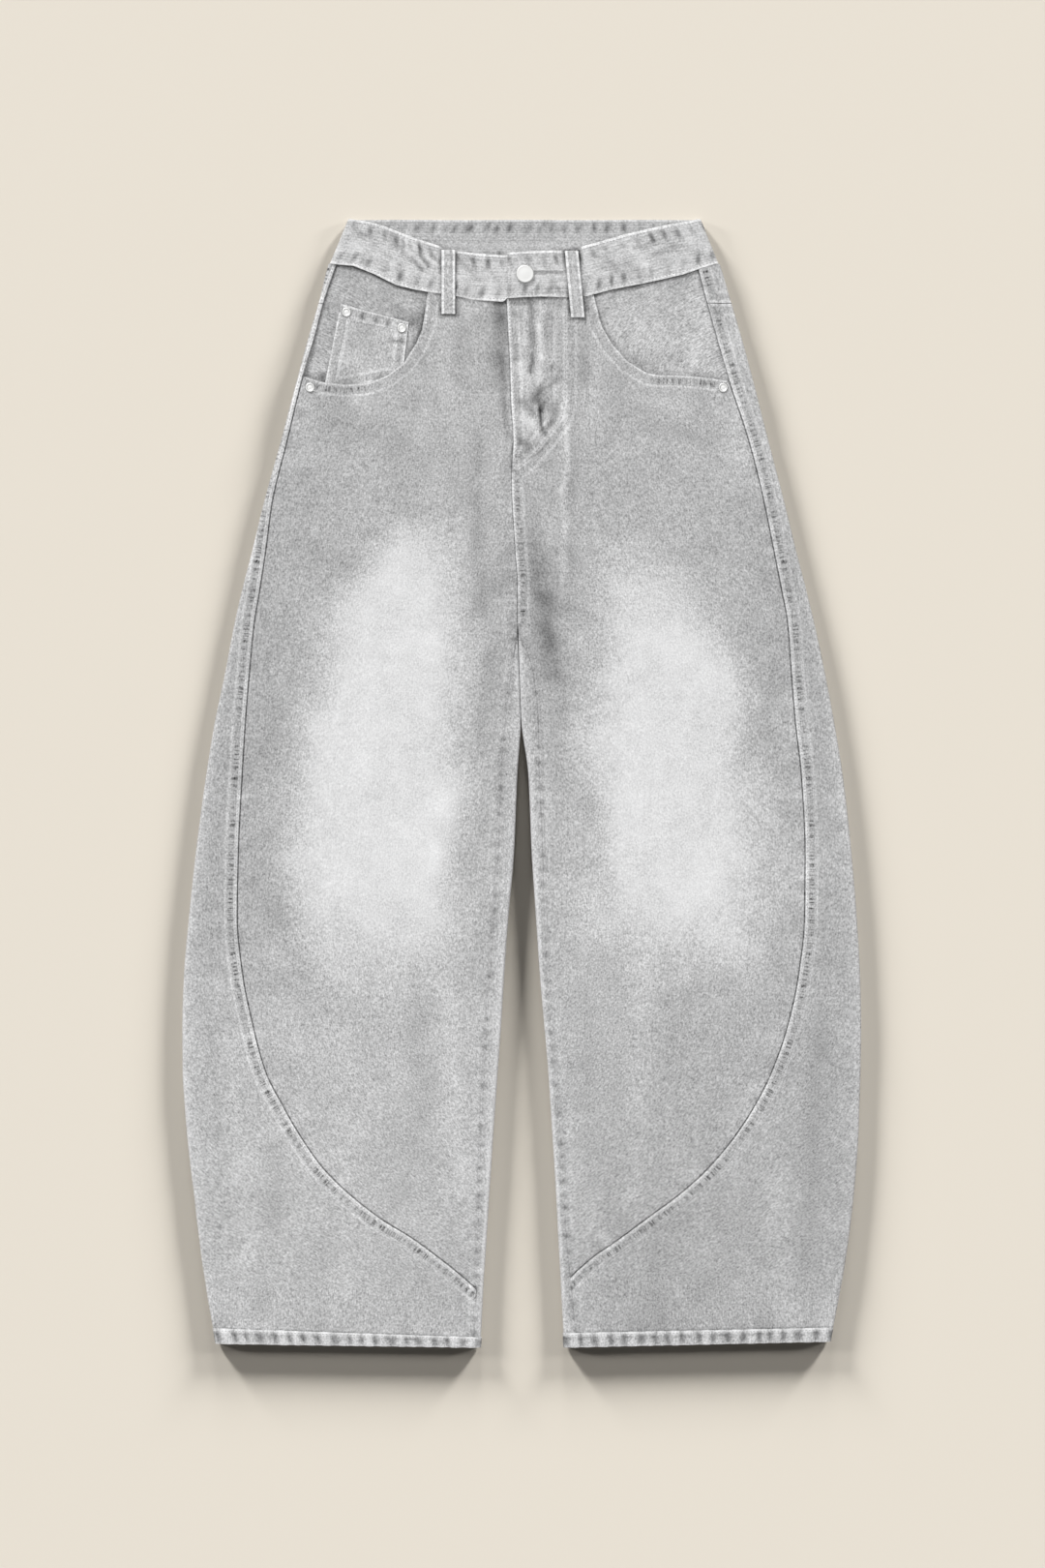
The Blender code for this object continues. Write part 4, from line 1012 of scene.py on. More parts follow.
def dense(points, step=1.6):
    """Add points to a line at even steps, as x and down."""
    points = np.array(points, dtype=float)
    count = max(2, int(lengths_along(points)[-1] / step))
    spread = place_along(points, np.linspace(0.0, 1.0, count + 1))
    return spread[:, 0], spread[:, 1]


def offset_path(x, down, distance):
    """Move a line sideways."""
    dx, dd = np.gradient(x), np.gradient(down)
    size = np.hypot(dx, dd)
    return x - distance * dd / size, down + distance * dx / size


# Front panels

MOUTH_SHARE = 6.0 / 11.0
CROTCH_SPLAY = 30.0
BLOCK_FOOT = 240.0


def front_end(side):
    """Give the down where the side seam has almost met the inseam."""
    down = SEAM_END[side]
    while side_seam(side, down) - inseam(side, down) < 0.9:
        down -= 0.5
    return down


def leg_downs(side, count):
    """Give downs at even steps along the side seam, from the crotch to the front's end."""
    downs = np.linspace(CROTCH + CROTCH_STEP + 0.2, front_end(side), 400)
    line = np.stack([side_seam(side, downs), downs], axis=-1)
    return place_along(line, np.linspace(0.0, 1.0, count + 1))[:, 1]


def front_top(side, shares):
    """Give the panel's upper boundary, along the mouth and then the waistband."""
    mouth = mouth_line(side)
    on_mouth = place_along(mouth, np.clip(shares / MOUTH_SHARE, 0.0, 1.0))
    end_down = float(band_bottom(side, centre_x(BAND_FOOT))) + BAND_GAP
    end_x = float(centre_x(end_down)) + side * SEAM_GAP / 2
    x = mix(mouth[-1][0], end_x, np.clip((shares - MOUTH_SHARE) / (1 - MOUTH_SHARE), 0.0, 1.0))
    down = band_bottom(side, x) + BAND_GAP
    is_mouth = shares <= MOUTH_SHARE
    return np.where(is_mouth, on_mouth[:, 0], x), np.where(is_mouth, on_mouth[:, 1], down)


def front_ends(side, down):
    start = side * (side_seam(side, down) - seam_half_gap(side, down))
    above = centre_x(down) + side * SEAM_GAP / 2
    opened = smooth_step((down - CROTCH) / CROTCH_SPLAY)
    below = mix(above, side * (inseam(side, down) + 0.02), opened)
    return start, np.where(down <= CROTCH, above, below)


def front_grid(side):
    shares = graded(235.0, 0.5, 3.6, 16.0)
    top_x, top_down = front_top(side, shares)
    v = graded(170.0, 0.5, 2.6, 10.0, both=False)[:-1, None]
    foot_start, foot_end = front_ends(side, np.array(BLOCK_FOOT))
    foot_x = mix(foot_start, foot_end, shares)
    first = front_ends(side, mix(top_down[0], BLOCK_FOOT, v))[0]
    last = front_ends(side, mix(top_down[-1], BLOCK_FOOT, v))[1]
    x = mix(top_x, foot_x, v)
    x = x + (1 - shares) * (first - mix(top_x[0], foot_x[0], v))
    x = x + shares * (last - mix(top_x[-1], foot_x[-1], v))
    down = mix(top_down, BLOCK_FOOT, v)
    hips = np.linspace(BLOCK_FOOT, CROTCH - CROTCH_STEP, 52)
    downs = np.concatenate([hips, [CROTCH + CROTCH_STEP - 0.2], leg_downs(side, 262)[1:]])[:, None]
    start, end = front_ends(side, downs)
    x = np.concatenate([x, mix(start, end, shares)])
    down = np.concatenate([down, np.broadcast_to(downs, (len(downs), len(shares)))])
    return x, down


# The curved row that holds the fly's inner cloth, from the waistband to the edge
FLY_PATH = (
    (40, 76), (40.2, 120), (40, 168), (36.5, 184), (27.5, 196),
    (17.5, 209), (7, 220.5), (-3, 229),
)


def front_lines(side, x, down):
    """List the front panel's sewn edges as distance, run, strength and share of short marks."""
    out = side * x
    gap, run = seam_place(side, out, down)
    mouth_gap, mouth_run = near_path(x, down, mouth_line(side))
    inner_gap = out - inseam(side, down)
    centre_gap = side * (x - centre_x(down))
    upper = down < CROTCH
    mouth_ticks = 0.08 + 0.8 * smooth_step((out - MOUTH_TICKS_OUT[side]) / 12.0)
    below_fly = smooth_step((down - 205.0) / 20.0)
    fly_edge, fly_strength = (1.0, 0.85) if side == RIGHT else (0.0, 0.1)
    lines = [
        (gap, run, 0.8, 1.0),
        (mouth_gap + 1.0, mouth_run, 1.0, mouth_ticks),
        (np.where(upper, FAR, inner_gap + 1.5), down, 0.12, 0.4),
        (np.where(upper, centre_gap + fly_edge, FAR), down, fly_strength, below_fly),
        (down - band_bottom(side, x) + 1.5, x, 0.3, 0.2),
    ]
    if side == RIGHT:
        fly_gap, fly_run = near_path(x, down, FLY_PATH)
        lines.append((fly_gap + 1.2, fly_run, 0.7, 0.12))
    return lines


def make_front(side):
    name = "front_" + SIDE_NAMES[side]
    x, down = front_grid(side)
    out = side * x
    z = upper_layer(side, out, down, False)
    marks = nearest(front_lines(side, x, down))
    marks["tone"] = to_light(front_tone(side, out, down, fine_relief(side, out, down)))
    made, area = add_grid(name, x, down, z, marks)
    thicken(made, CLOTH)
    paths = []
    mouth_x, mouth_down = dense(mouth_line(side))
    for distance in (1.8, 8.6):
        path_x, path_down = offset_path(mouth_x, mouth_down, side * -distance)
        keep = path_down > band_bottom(side, path_x) + 1.5
        keep = keep & (side * path_x < side_seam(side, path_down) - 1.0)
        paths.append(on_front(side, path_x[keep], path_down[keep]))
    downs = np.arange(CROTCH + 6, front_end(side) - 4, STITCH_STEP)
    paths.append(on_front(side, side * (inseam(side, downs) + 2.2), downs))
    if side == RIGHT:
        for distance in (0.0, 6.0):
            path_x, path_down = offset_path(*dense(FLY_PATH), -distance)
            keep = path_down > band_bottom(side, path_x) + 1.5
            paths.append(on_front(side, path_x[keep], path_down[keep]))
        for top, distance in ((76.0, 2.0), (214.0, 8.6)):
            downs = np.arange(top, CROTCH - 7.0, STITCH_STEP)
            paths.append(on_front(side, centre_x(downs) + distance, downs))
    stitches = add_stitches("stitches_" + name, paths)
    finish_cloth(made, name, [stitches])


def on_front(side, x, down):
    return x, down, upper_layer(side, side * x, down, False) + CLOTH / 2 + STITCH_LIFT


# Back panels and yokes: cloth that wraps from the front, round, to the underside

def strip_out(side, share, down):
    """Place a point of the upper strip between the side seam and the outer fold."""
    start = side_seam(side, down) + np.where(down < SEAM_END[side] - 3.0, seam_half_gap(side, down), -0.04)
    end = leg(side, OUTLINE, down) - CLOTH / 2 - EDGE_RADIUS
    end = np.maximum(end, start + 1.0)
    stretch = np.sqrt(1.0 + seam_slope(side, down) ** 2)
    first = np.minimum(14.0 * stretch, 0.5 * (end - start))
    near = start + first * share / 0.3
    return np.where(share <= 0.3, near, start + mix(first, end - start, (share - 0.3) / 0.7))


def wrapped(side, place, down, below_crotch):
    """Give x and height of the cloth that wraps round a leg.

    The place runs from 0 at the side seam over the outer fold, from 1 to 2,
    along the underside to 3, round the inner fold to 4 and up to the inseam at 5.
    """
    outer = leg(side, OUTLINE, down) - CLOTH / 2
    inner = inner_edge(side, down)
    foot = inner + EDGE_RADIUS if below_crotch else side * CENTRE_CURVE(CROTCH) + SEAM_GAP / 2
    on_strip = place <= 1.0
    on_outer = (place > 1.0) & (place < 2.0)
    on_under = (place >= 2.0) & (place <= 3.0)
    on_inner = (place > 3.0) & (place < 4.0)
    strip = strip_out(side, np.clip(place, 0.0, 1.0), down)
    outer_base = np.maximum(outer - EDGE_RADIUS, strip_out(side, 1.0, down))
    inner_base = inner + EDGE_RADIUS
    angle = math.pi * np.where(on_outer, place - 1.0, 4.0 - place)
    reach = EDGE_RADIUS * np.sin(np.clip(angle, 0.0, math.pi))
    arc_out = np.where(on_outer, outer_base + reach, inner_base - reach)
    arc_base = np.where(on_outer, outer_base, inner_base)
    under_out = mix(outer - EDGE_RADIUS, foot, place - 2.0)
    flap = mix(inner_base, inseam(side, down) - 0.02, place - 4.0)
    out = np.where(on_strip, strip, np.where(on_under, under_out, np.where(place >= 4.0, flap, arc_out)))
    base = np.where(on_outer | on_inner, arc_base, out)
    on_top = upper_layer(side, base, down, False)
    on_top = np.where(place < 2.0, on_top + ridge_height(side, base, down), on_top)
    tucked = 1.7 * (1.0 - smooth_step((down - CROTCH - 16.0) / 16.0))
    on_top = np.where(place > 3.0, on_top - tucked, on_top)
    beneath = under_height(side * base, down)
    turned = mix(beneath, on_top, (1.0 + np.cos(angle)) / 2)
    height = np.where(on_under, beneath, np.where(on_outer | on_inner, turned, on_top))
    return side * out, height


def yoke_seam(place):
    return mix(YOKE_SIDE, YOKE_CENTRE, np.clip(place - 2.0, 0.0, 1.0))


def yoke_top(side, place):
    on_top = side * strip_out(side, np.minimum(1.0, place), WAIST_DEPTH)
    return mix(band_bottom(side, on_top), WAIST_DEPTH, smooth_step(place - 1.0)) + BAND_GAP


STRIP_PLACES = np.concatenate([
    0.3 * np.array([0.0, 0.035, 0.075, 0.125, 0.2, 0.28, 0.37, 0.47, 0.57, 0.68, 0.79, 0.9]),
    np.linspace(0.3, 1.0, 43)[:-1],
])
OUTER_PLACES = np.linspace(1.0, 2.0, 9)[:-1]
UNDER_PLACES = np.linspace(2.0, 3.0, 35)
INNER_PLACES = np.linspace(3.0, 4.0, 8)[1:]
FLAP_PLACES = 4.0 + np.array([0.15, 0.3, 0.45, 0.6, 0.75, 0.88, 1.0])


def wrap_marks(side, x, down, place, z, below_crotch):
    """Give the tone and the sewn edges of wrapped cloth."""
    out = side * x
    gap, run = seam_place(side, out, down)
    seam_gap = np.where(place < 1.5, gap, FAR)
    inner_gap = np.where((place >= 3.5) & below_crotch, inseam(side, down) - out, FAR)
    yoke_gap = np.where(place > 0.0, down - yoke_seam(place), FAR)
    on_centre = (place > 2.0) & np.logical_not(below_crotch)
    centre_gap = np.where(on_centre, out - side * CENTRE_CURVE(CROTCH), FAR)
    lines = [
        (seam_gap, run, 1.0, 1.0), (inner_gap + 1.5, down, 0.12, 0.4),
        (np.abs(yoke_gap) + 0.5, x, 0.7, 0.8), (centre_gap, down, 0.7, 0.8),
    ]
    top_tone = front_tone(side, out, down, z - TOP_LEVEL)
    under_tone = back_tone(side, out, down)
    share = np.where(place < 2.5, smooth_step(place - 1.0), smooth_step(4.0 - place))
    # The folds round the leg's outer and inner edges are painted lighter: partly wear of the folded edge,
    # partly painted light where these sideways-facing folds get little lamp light.
    outer_rim_wear_and_light = bell(place - 1.35, 0.4) * (place < 2.5)
    inner_rim_wear_and_light = bell(place - 3.6, 0.45) * (place > 2.5)
    marks = nearest(lines)
    marks["tone"] = to_light(mix(top_tone, under_tone, share) + 20.0 * outer_rim_wear_and_light + 34.0 * inner_rim_wear_and_light)
    return marks


def make_yoke(side):
    name = "yoke_" + SIDE_NAMES[side]
    place = np.concatenate([STRIP_PLACES[::2], OUTER_PLACES, UNDER_PLACES])[None, :]
    rows = graded(60.0, 0.6, 2.6, 8.0)[:, None]
    down = mix(yoke_top(side, place), yoke_seam(place) - SEAM_GAP / 2, rows)
    place = np.broadcast_to(place, down.shape)
    x, z = wrapped(side, place, down, False)
    marks = wrap_marks(side, x, down, place, z, False)
    made, area = add_grid(name, x, down, z, marks)
    thicken(made, CLOTH)
    rows = strip_stitches(side, float(yoke_top(side, 0.0)) + 2, YOKE_SIDE)
    stitches = add_stitches("stitches_" + name, rows)
    finish_cloth(made, name, [stitches])


def strip_stitches(side, low, high):
    """Give the two rows beside the side seam on the front."""
    paths = []
    for distance in (2.4, 10.4):
        downs = np.arange(low, high, STITCH_STEP)
        slope = seam_slope(side, downs)
        stretch = np.sqrt(1.0 + slope ** 2)
        out = side_seam(side, downs) + distance / stretch
        sunk = downs - distance * slope / stretch
        keep = (out < leg(side, OUTLINE, sunk) - 2.5) & (out > inseam(side, sunk) + 2.0)
        out, sunk = out[keep], sunk[keep]
        if len(out) > 2:
            paths.append((side * out, sunk, upper_layer(side, out, sunk, True) + CLOTH / 2 + STITCH_LIFT))
    return paths


def make_back(side):
    name = "back_" + SIDE_NAMES[side]
    upper_places = np.concatenate([STRIP_PLACES, OUTER_PLACES, UNDER_PLACES])
    places = np.concatenate([upper_places, INNER_PLACES, FLAP_PLACES])
    crotch_row = CROTCH + CROTCH_STEP + 0.2
    rows = graded(270.0, 0.6, 3.0, 8.0, both=False)[:-1, None]
    upper_down = mix(yoke_seam(places) + SEAM_GAP / 2, crotch_row, rows)
    last = SEAM_END[side]
    downs = np.concatenate([leg_downs(side, 250), [last]])
    lower_down = np.repeat(downs[:, None], len(places), axis=1)
    last_x, _ = wrapped(side, places[None, :], np.full((1, len(places)), last), True)
    foot = hem_edge(side, 0, side * last_x) - SEAM_GAP
    tail = mix(last, foot, np.linspace(0.0, 1.0, 17)[1:, None])
    lower_down = np.concatenate([lower_down, tail])
    upper_place = np.broadcast_to(places, upper_down.shape)
    lower_place = np.broadcast_to(places, lower_down.shape)
    upper_x, upper_z = wrapped(side, upper_place, upper_down, False)
    lower_x, lower_z = wrapped(side, lower_place, lower_down, True)
    upper_marks = wrap_marks(side, upper_x, upper_down, upper_place, upper_z, False)
    lower_marks = wrap_marks(side, lower_x, lower_down, lower_place, lower_z, True)
    marks = {label: np.concatenate([upper_marks[label], lower_marks[label]]) for label in upper_marks}
    x = np.concatenate([upper_x, lower_x])
    down = np.concatenate([upper_down, lower_down])
    z = np.concatenate([upper_z, lower_z])
    valid = np.ones(x.shape, dtype=bool)
    valid[:len(upper_x), len(upper_places):] = False
    made, area = add_grid(name, x, down, z, marks, valid)
    thicken(made, CLOTH)
    stitches = add_stitches("stitches_" + name, back_stitches(side))
    finish_cloth(made, name, [stitches])


def beneath(x, down):
    """Place a row of stitches on the outside of the underside."""
    return x, down, under_height(x, down) - CLOTH / 2 - 0.05


def back_stitches(side):
    paths = strip_stitches(side, YOKE_SIDE + 1.0, SEAM_END[side] - 3.0)
    places = np.linspace(2.02, 2.99, 110)
    for distance in (2.4, 8.6):
        down = yoke_seam(places) + distance
        x, _ = wrapped(side, places, down, False)
        paths.append(beneath(x, down))
    for distance in (2.0, 7.5):
        down = np.arange(YOKE_CENTRE + 4, CROTCH - 2, STITCH_STEP)
        paths.append(beneath(np.full(down.shape, CENTRE_CURVE(CROTCH) + side * distance), down))
    return paths


# Waistband: one strip round the waist whose right end lies over its left end

def band_sections():
    """Give cross lines of the strip, their height, and how much of each lies on the front and on the back."""
    left = place_along(UNDERLAP_ROWS + BAND_LEFT_ROWS, np.linspace(0.0, 1.0, BAND_STEPS))
    left_fold, right_fold = np.array(BAND_LEFT_ROWS[-1]), np.array(BAND_RIGHT_ROWS[0])
    radius = (BAND_LEVEL - BAND_UNDER) / 2
    middle = (BAND_LEVEL + BAND_UNDER) / 2
    angles = math.pi * np.arange(1, ARC_STEPS + 1) / (ARC_STEPS + 1)
    sideways = np.array([1.0, 0.0, 1.0, 0.0])
    left_arc = left_fold - radius * np.sin(angles)[:, None] * sideways
    back = mix(left_fold, right_fold, np.linspace(0.0, 1.0, BACK_STEPS)[:, None])
    right_arc = right_fold + radius * np.sin(angles)[:, None] * sideways
    right = place_along(BAND_RIGHT_ROWS, np.linspace(0.0, 1.0, BAND_STEPS))
    rows = np.concatenate([left, left_arc, back, right_arc, right])
    rows[:, 3] += 0.9
    back_level = BAND_UNDER + under_rise(mix(back[:, 0], back[:, 2], 0.5), 20.0)
    right_level = mix(OVERLAP_LEVEL, BAND_LEVEL, smooth_step((right[:, 0] - 22.0) / 14.0))
    level = np.concatenate([
        np.full(len(left), BAND_LEVEL), middle + radius * np.cos(angles), back_level,
        middle - radius * np.cos(angles), right_level,
    ])
    on_front = np.concatenate([
        smooth_step((-left[:, 0] - 12.0) / 15.0) * smooth_step((162.0 + left[:, 0]) / 20.0),
        np.zeros(ARC_STEPS + BACK_STEPS + ARC_STEPS),
        smooth_step((165.0 - right[:, 0]) / 20.0),
    ])
    beside = np.zeros(BAND_STEPS + ARC_STEPS)
    on_back = np.concatenate([beside, np.ones(BACK_STEPS), beside])
    return rows, level, on_front, on_back


BAND_WRINKLES = (
    (-117, 26, -88, 50, 3.5, -0.8), (-104, 22, -80, 40, 3, 0.5), (-128, 30, -104, 54, 4, 0.5),
    (-140, 14, -124, 34, 4, -0.5), (-52, 38, -34, 60, 4, -0.4), (-34, 36, -22, 66, 4, 0.4),
    (74, 30, 92, 52, 4, -0.6), (98, 22, 116, 46, 4, 0.5), (128, 12, 146, 34, 4, -0.5),
    (24, 36, 30, 62, 3.5, -0.5), (60, 34, 70, 60, 4, 0.45), (12, 62, 34, 68, 3, -0.4),
)


# Darker and lighter places of the waistband, listed one by one: x and down of each end, width, tone
# Many of the dark lines are painted shade in the waistband's wrinkles.
BAND_SHADES = (
    (-110, 18, -110, 31, 1.5, -34), (-103, 33, -92, 48, 2, -46), (-95.6, 23, -94, 29, 1.6, -46),
    (-96.4, 31.6, -87, 45, 1.9, -50), (-86, 35.5, -77, 40.3, 1.8, -52), (-107.5, 18, -103, 31, 1.8, 22),
    (-103, 31, -90, 46.7, 1.8, 26), (-87.6, 36.3, -79.7, 43.5, 2, 20), (-120, 37, -111, 42, 1.7, -28),
    (-150, 14, -146, 17, 2.6, -22), (-163, 15, -161, 16, 3, -22), (-159, 5, -157, 6, 3, -22),
    (-120, 17, -118, 20, 3.2, -20), (-146, 36, -146, 43, 2.4, -24), (-114, 47, -114, 54, 2.8, -24),
    (-52, 40, -38, 58, 2.2, -18), (-30, 44, -22, 60, 2.4, -16), (16, 36, 24, 44, 2.6, -18),
    (12, 47, 38, 46.6, 1.4, 16), (26, 54, 34, 66, 2.2, -18), (68, 34, 86, 40, 2.2, -24),
    (76, 44, 98, 42, 2.4, -18), (104, 26, 126, 22, 2.4, -20), (120, 36, 146, 26, 2.2, -20),
    (136, 12, 150, 22, 2.4, -20), (150, 30, 166, 34, 2.4, -16),
)


def band_surface(rows, level, on_front, on_back, share, run):
    """Give x, down and height of the band at a share across it."""
    x = mix(rows[:, 0], rows[:, 2], share)
    down = mix(rows[:, 1], rows[:, 3], share)
    top_gap, foot_gap = BAND_HEIGHT * share, BAND_HEIGHT * (1.0 - share)
    quiet = np.where(np.abs(x - BUTTON_PLACE[0]) < 13.0, 0.35, 1.0)
    wave = puckers(top_gap, run, 9.0, 7.0, 101) + 1.1 * puckers(foot_gap, run, 11.0, 7.0, 111)
    relief = on_front * quiet * (0.75 * wave + soft_lines(BAND_WRINKLES, x, down))
    inside = puckers(top_gap, run, 14.0, 6.0, 121) + puckers(foot_gap, run, 9.0, 6.5, 131)
    relief = relief + 0.45 * on_back * np.abs(inside)
    rim = -0.35 * (bell(top_gap, 1.0) + bell(foot_gap, 1.0))
    return x, down, level + relief + rim * on_front, relief


def make_waistband():
    sections = band_sections()
    rows, level, on_front, on_back = sections
    middle = mix(rows[:, :2], rows[:, 2:], 0.5)
    run = lengths_along(np.concatenate([middle, level[:, None]], axis=1))
    shares = graded(BAND_HEIGHT, 0.6, 2.2, 8.0)
    columns = [band_surface(*sections, share, run) for share in shares]
    x, down, z, relief = [np.stack(values, axis=-1) for values in zip(*columns)]
    across = np.broadcast_to(BAND_HEIGHT * np.minimum(shares, 1 - shares), x.shape)
    travelled = run[:, None]
    in_front = (on_front > 0.5)[:, None]
    lower_half = (shares > 0.5) * 37.0
    spots = beads(travelled + lower_half + 0.25 * across, 13.2, 144)
    tone = np.where(on_back > 0.5, 173.0, 189.0)[:, None] + 9.0 + 15.0 * relief
    tone = tone - 76.0 * spots * bell(across - 7.6, 4.4)
    tone = tone + 5.0 * bell(across - 17.0, 6.0)
    tone = tone + uneven_lines(BAND_SHADES, x, down) * (on_front > 0.3)[:, None]
    tone = tone + 7.0 * rough_plane(x, down, 9.0, 141) + 5.0 * rough_plane(x, down, 26.0, 142)
    # Painted shade in the buttonhole's slit.
    painted_slit_shade = bell(down - BUTTONHOLE_DOWN, 1.0)
    painted_slit_shade = painted_slit_shade * smooth_step((x - 9.0) / 2.0) * smooth_step((39.0 - x) / 2.0)
    tone = tone - 110.0 * painted_slit_shade * (in_front & (travelled > run.max() / 2))
    # Painted shadow beside the front belt loops, on the waistband.
    loop_shadow_on_band = np.where(x > 0, loop_painted_shadow(RIGHT, x, down), loop_painted_shadow(LEFT, x, down))
    tone = tone + np.where(in_front, loop_shadow_on_band, 0.0)
    seam = 0.95 * (1.0 - smooth_step((across - 4.0) / 3.0))
    marks = {"edge": across + 1.0, "run": 0.85 * travelled, "seam": seam, "ticks": 0.0}
    marks["tone"] = to_light(tone)
    made, area = add_grid("waistband", x, down, z, marks)
    thicken(made, BAND_CLOTH, 0.6)
    first_back, first_right = BAND_STEPS + ARC_STEPS, BAND_STEPS + BACK_STEPS + 2 * ARC_STEPS
    back_span = (first_back + 2, first_back + BACK_STEPS - 2)
    outside = ((14, BAND_STEPS - 2, 1.0), (*back_span, -1.0), (first_right + 2, len(rows) - 2, 1.0))
    inside = ((*back_span, 1.0),)
    paths = []
    for share, spans in ((0.055, outside), (0.945, outside), (0.055, inside)):
        row_x, row_down, row_z, _ = band_surface(*sections, share, run)
        for first, last, facing in spans:
            lift = facing * (BAND_CLOTH / 2 + 0.08)
            paths.append((row_x[first:last], row_down[first:last], row_z[first:last] + lift))
    paths.append((-10.2, np.linspace(36.0, 68.0, 22), OVERLAP_LEVEL + BAND_CLOTH / 2 + STITCH_LIFT))
    stitches = add_stitches("stitches_waistband", paths)
    slit_x, slit_down = dense([(x, BUTTONHOLE_DOWN) for x in BUTTONHOLE_ENDS], 1.0)
    slit_z = np.interp(slit_x, (20.0, 36.0), (OVERLAP_LEVEL, BAND_LEVEL)) + BAND_CLOTH / 2 + 0.15
    rims = [(slit_x, slit_down + offset, slit_z - 0.1) for offset in (-1.7, 1.7)]
    buttonhole = add_stitches("buttonhole_stitches", rims, 0.9, 0.42, 0.7)
    finish_cloth(made, "waistband", [stitches, buttonhole])


# Belt loops, facings and pockets

def add_loop(name, centre_line, width, thickness, outside):
    """Make a strap from its centre line of x, down and height, with two rows of stitches."""
    line = place_along(centre_line, np.linspace(0.0, 1.0, 41))
    shares = np.linspace(-0.5, 0.5, 13)
    run = lengths_along(line)[:, None]
    x = line[:, :1] + width * shares
    down = np.broadcast_to(line[:, 1:2], x.shape)
    gap = (0.5 - np.abs(shares)) * width
    relief = 0.3 * puckers(gap[None, :], run, 5.0, 5.0, 151) + 0.25 * rough_plane(x, down, 6.0, 152)
    on_front = float(outside > 0)
    relief = relief * on_front
    ends = np.minimum(run, run[-1] - run)
    bars = 0.25 * bell(ends - 5.0, 2.0) * on_front
    z = line[:, 2:3] + np.maximum(relief, -0.3) + bars
    tone = 200.0 + 26.0 * relief + 8.0 * rough_plane(2.0 * x, 0.4 * down, 5.0, 153)
    tone = tone + 14.0 * bell(ends, 2.0) - 16.0 * bell(gap - 3.6, 1.0)
    tone = tone - 8.0 * bell(ends - 7.0, 3.0)
    marks = {"edge": gap + 1.0, "run": run, "seam": 0.9, "ticks": 0.1, "tone": to_light(tone)}
    made, area = add_grid(name, x, down, z, marks)
    thicken(made, thickness, 0.4)
    lift = outside * (thickness / 2 + 0.06)
    paths = [(line[2:-2, 0] + offset, line[2:-2, 1], line[2:-2, 2] + lift) for offset in (-3.6, 3.6)]
    stitches = add_stitches("stitches_" + name, paths, 2.8, 1.05, 0.3)
    bars = []
    for bar_x, bar_down, bar_z in (line[3], line[37]):
        places = np.linspace(bar_x - width / 2 + 1, bar_x + width / 2 - 1, 12)
        bars.append((places, bar_down, bar_z + lift))
    tacks = add_stitches("tacks_" + name, bars, 0.75, 0.3, 0.8)
    finish_cloth(made, name, [stitches, tacks])


def make_front_loop(side):
    (top_x, top_down), (foot_x, foot_down) = FRONT_LOOPS[side]
    over_band = BAND_LEVEL + BAND_CLOTH / 2 + 0.4 + SEAM_GAP + LOOP_CLOTH / 2
    panel_top = float(top_height(np.array(foot_x), np.array(foot_down))) + CLOTH / 2
    on_panel = panel_top + SEAM_GAP + LOOP_CLOTH / 2 + 0.3
    seam_down = float(band_bottom(side, foot_x))
    on_panel_downs = np.linspace(seam_down + 3, foot_down, 12)
    downs = np.concatenate([np.linspace(top_down, seam_down + 1.5, 12), on_panel_downs])
    share = (downs - top_down) / (foot_down - top_down)
    level = mix(over_band, on_panel, smooth_step((downs - seam_down - 1.5) / 7.5))
    bow = 0.5 * np.sin(math.pi * np.clip((downs - top_down) / (seam_down - top_down), 0.0, 1.0))
    line = np.stack([mix(top_x, foot_x, share), downs, level + bow], axis=-1)
    name = "belt_loop_front_" + SIDE_NAMES[side]
    add_loop(name, line, LOOP_WIDTH, LOOP_CLOTH, 1.0)


def make_back_loop(name, x):
    height = BACK_LOOP_CLOTH / 2
    line = np.array([(x, mix(*BACK_LOOP_ENDS, i / 8), height) for i in range(9)])
    add_loop("belt_loop_back_" + name, line, LOOP_WIDTH, BACK_LOOP_CLOTH, -1.0)


# Darker places of the facings, listed one by one: x and down of each end, width, tone
# These are mostly painted shadow, along the coin pocket's edges and inside the pocket mouths.
FACING_SHADES = (
    (-116, 84, -97, 92, 6, -26), (-115, 90, -100, 96, 1.6, -60), (-168, 79, -128, 88, 1.4, -22),
    (-186, 146, -182, 150, 3.4, -46), (-178, 128, -183, 146, 1.8, -36), (-172, 92, -178, 128, 1.2, -22),
    (104, 128, 118, 138, 6, -14), (92, 84, 98, 118, 5, -10), (150, 84, 158, 130, 5, 8),
)


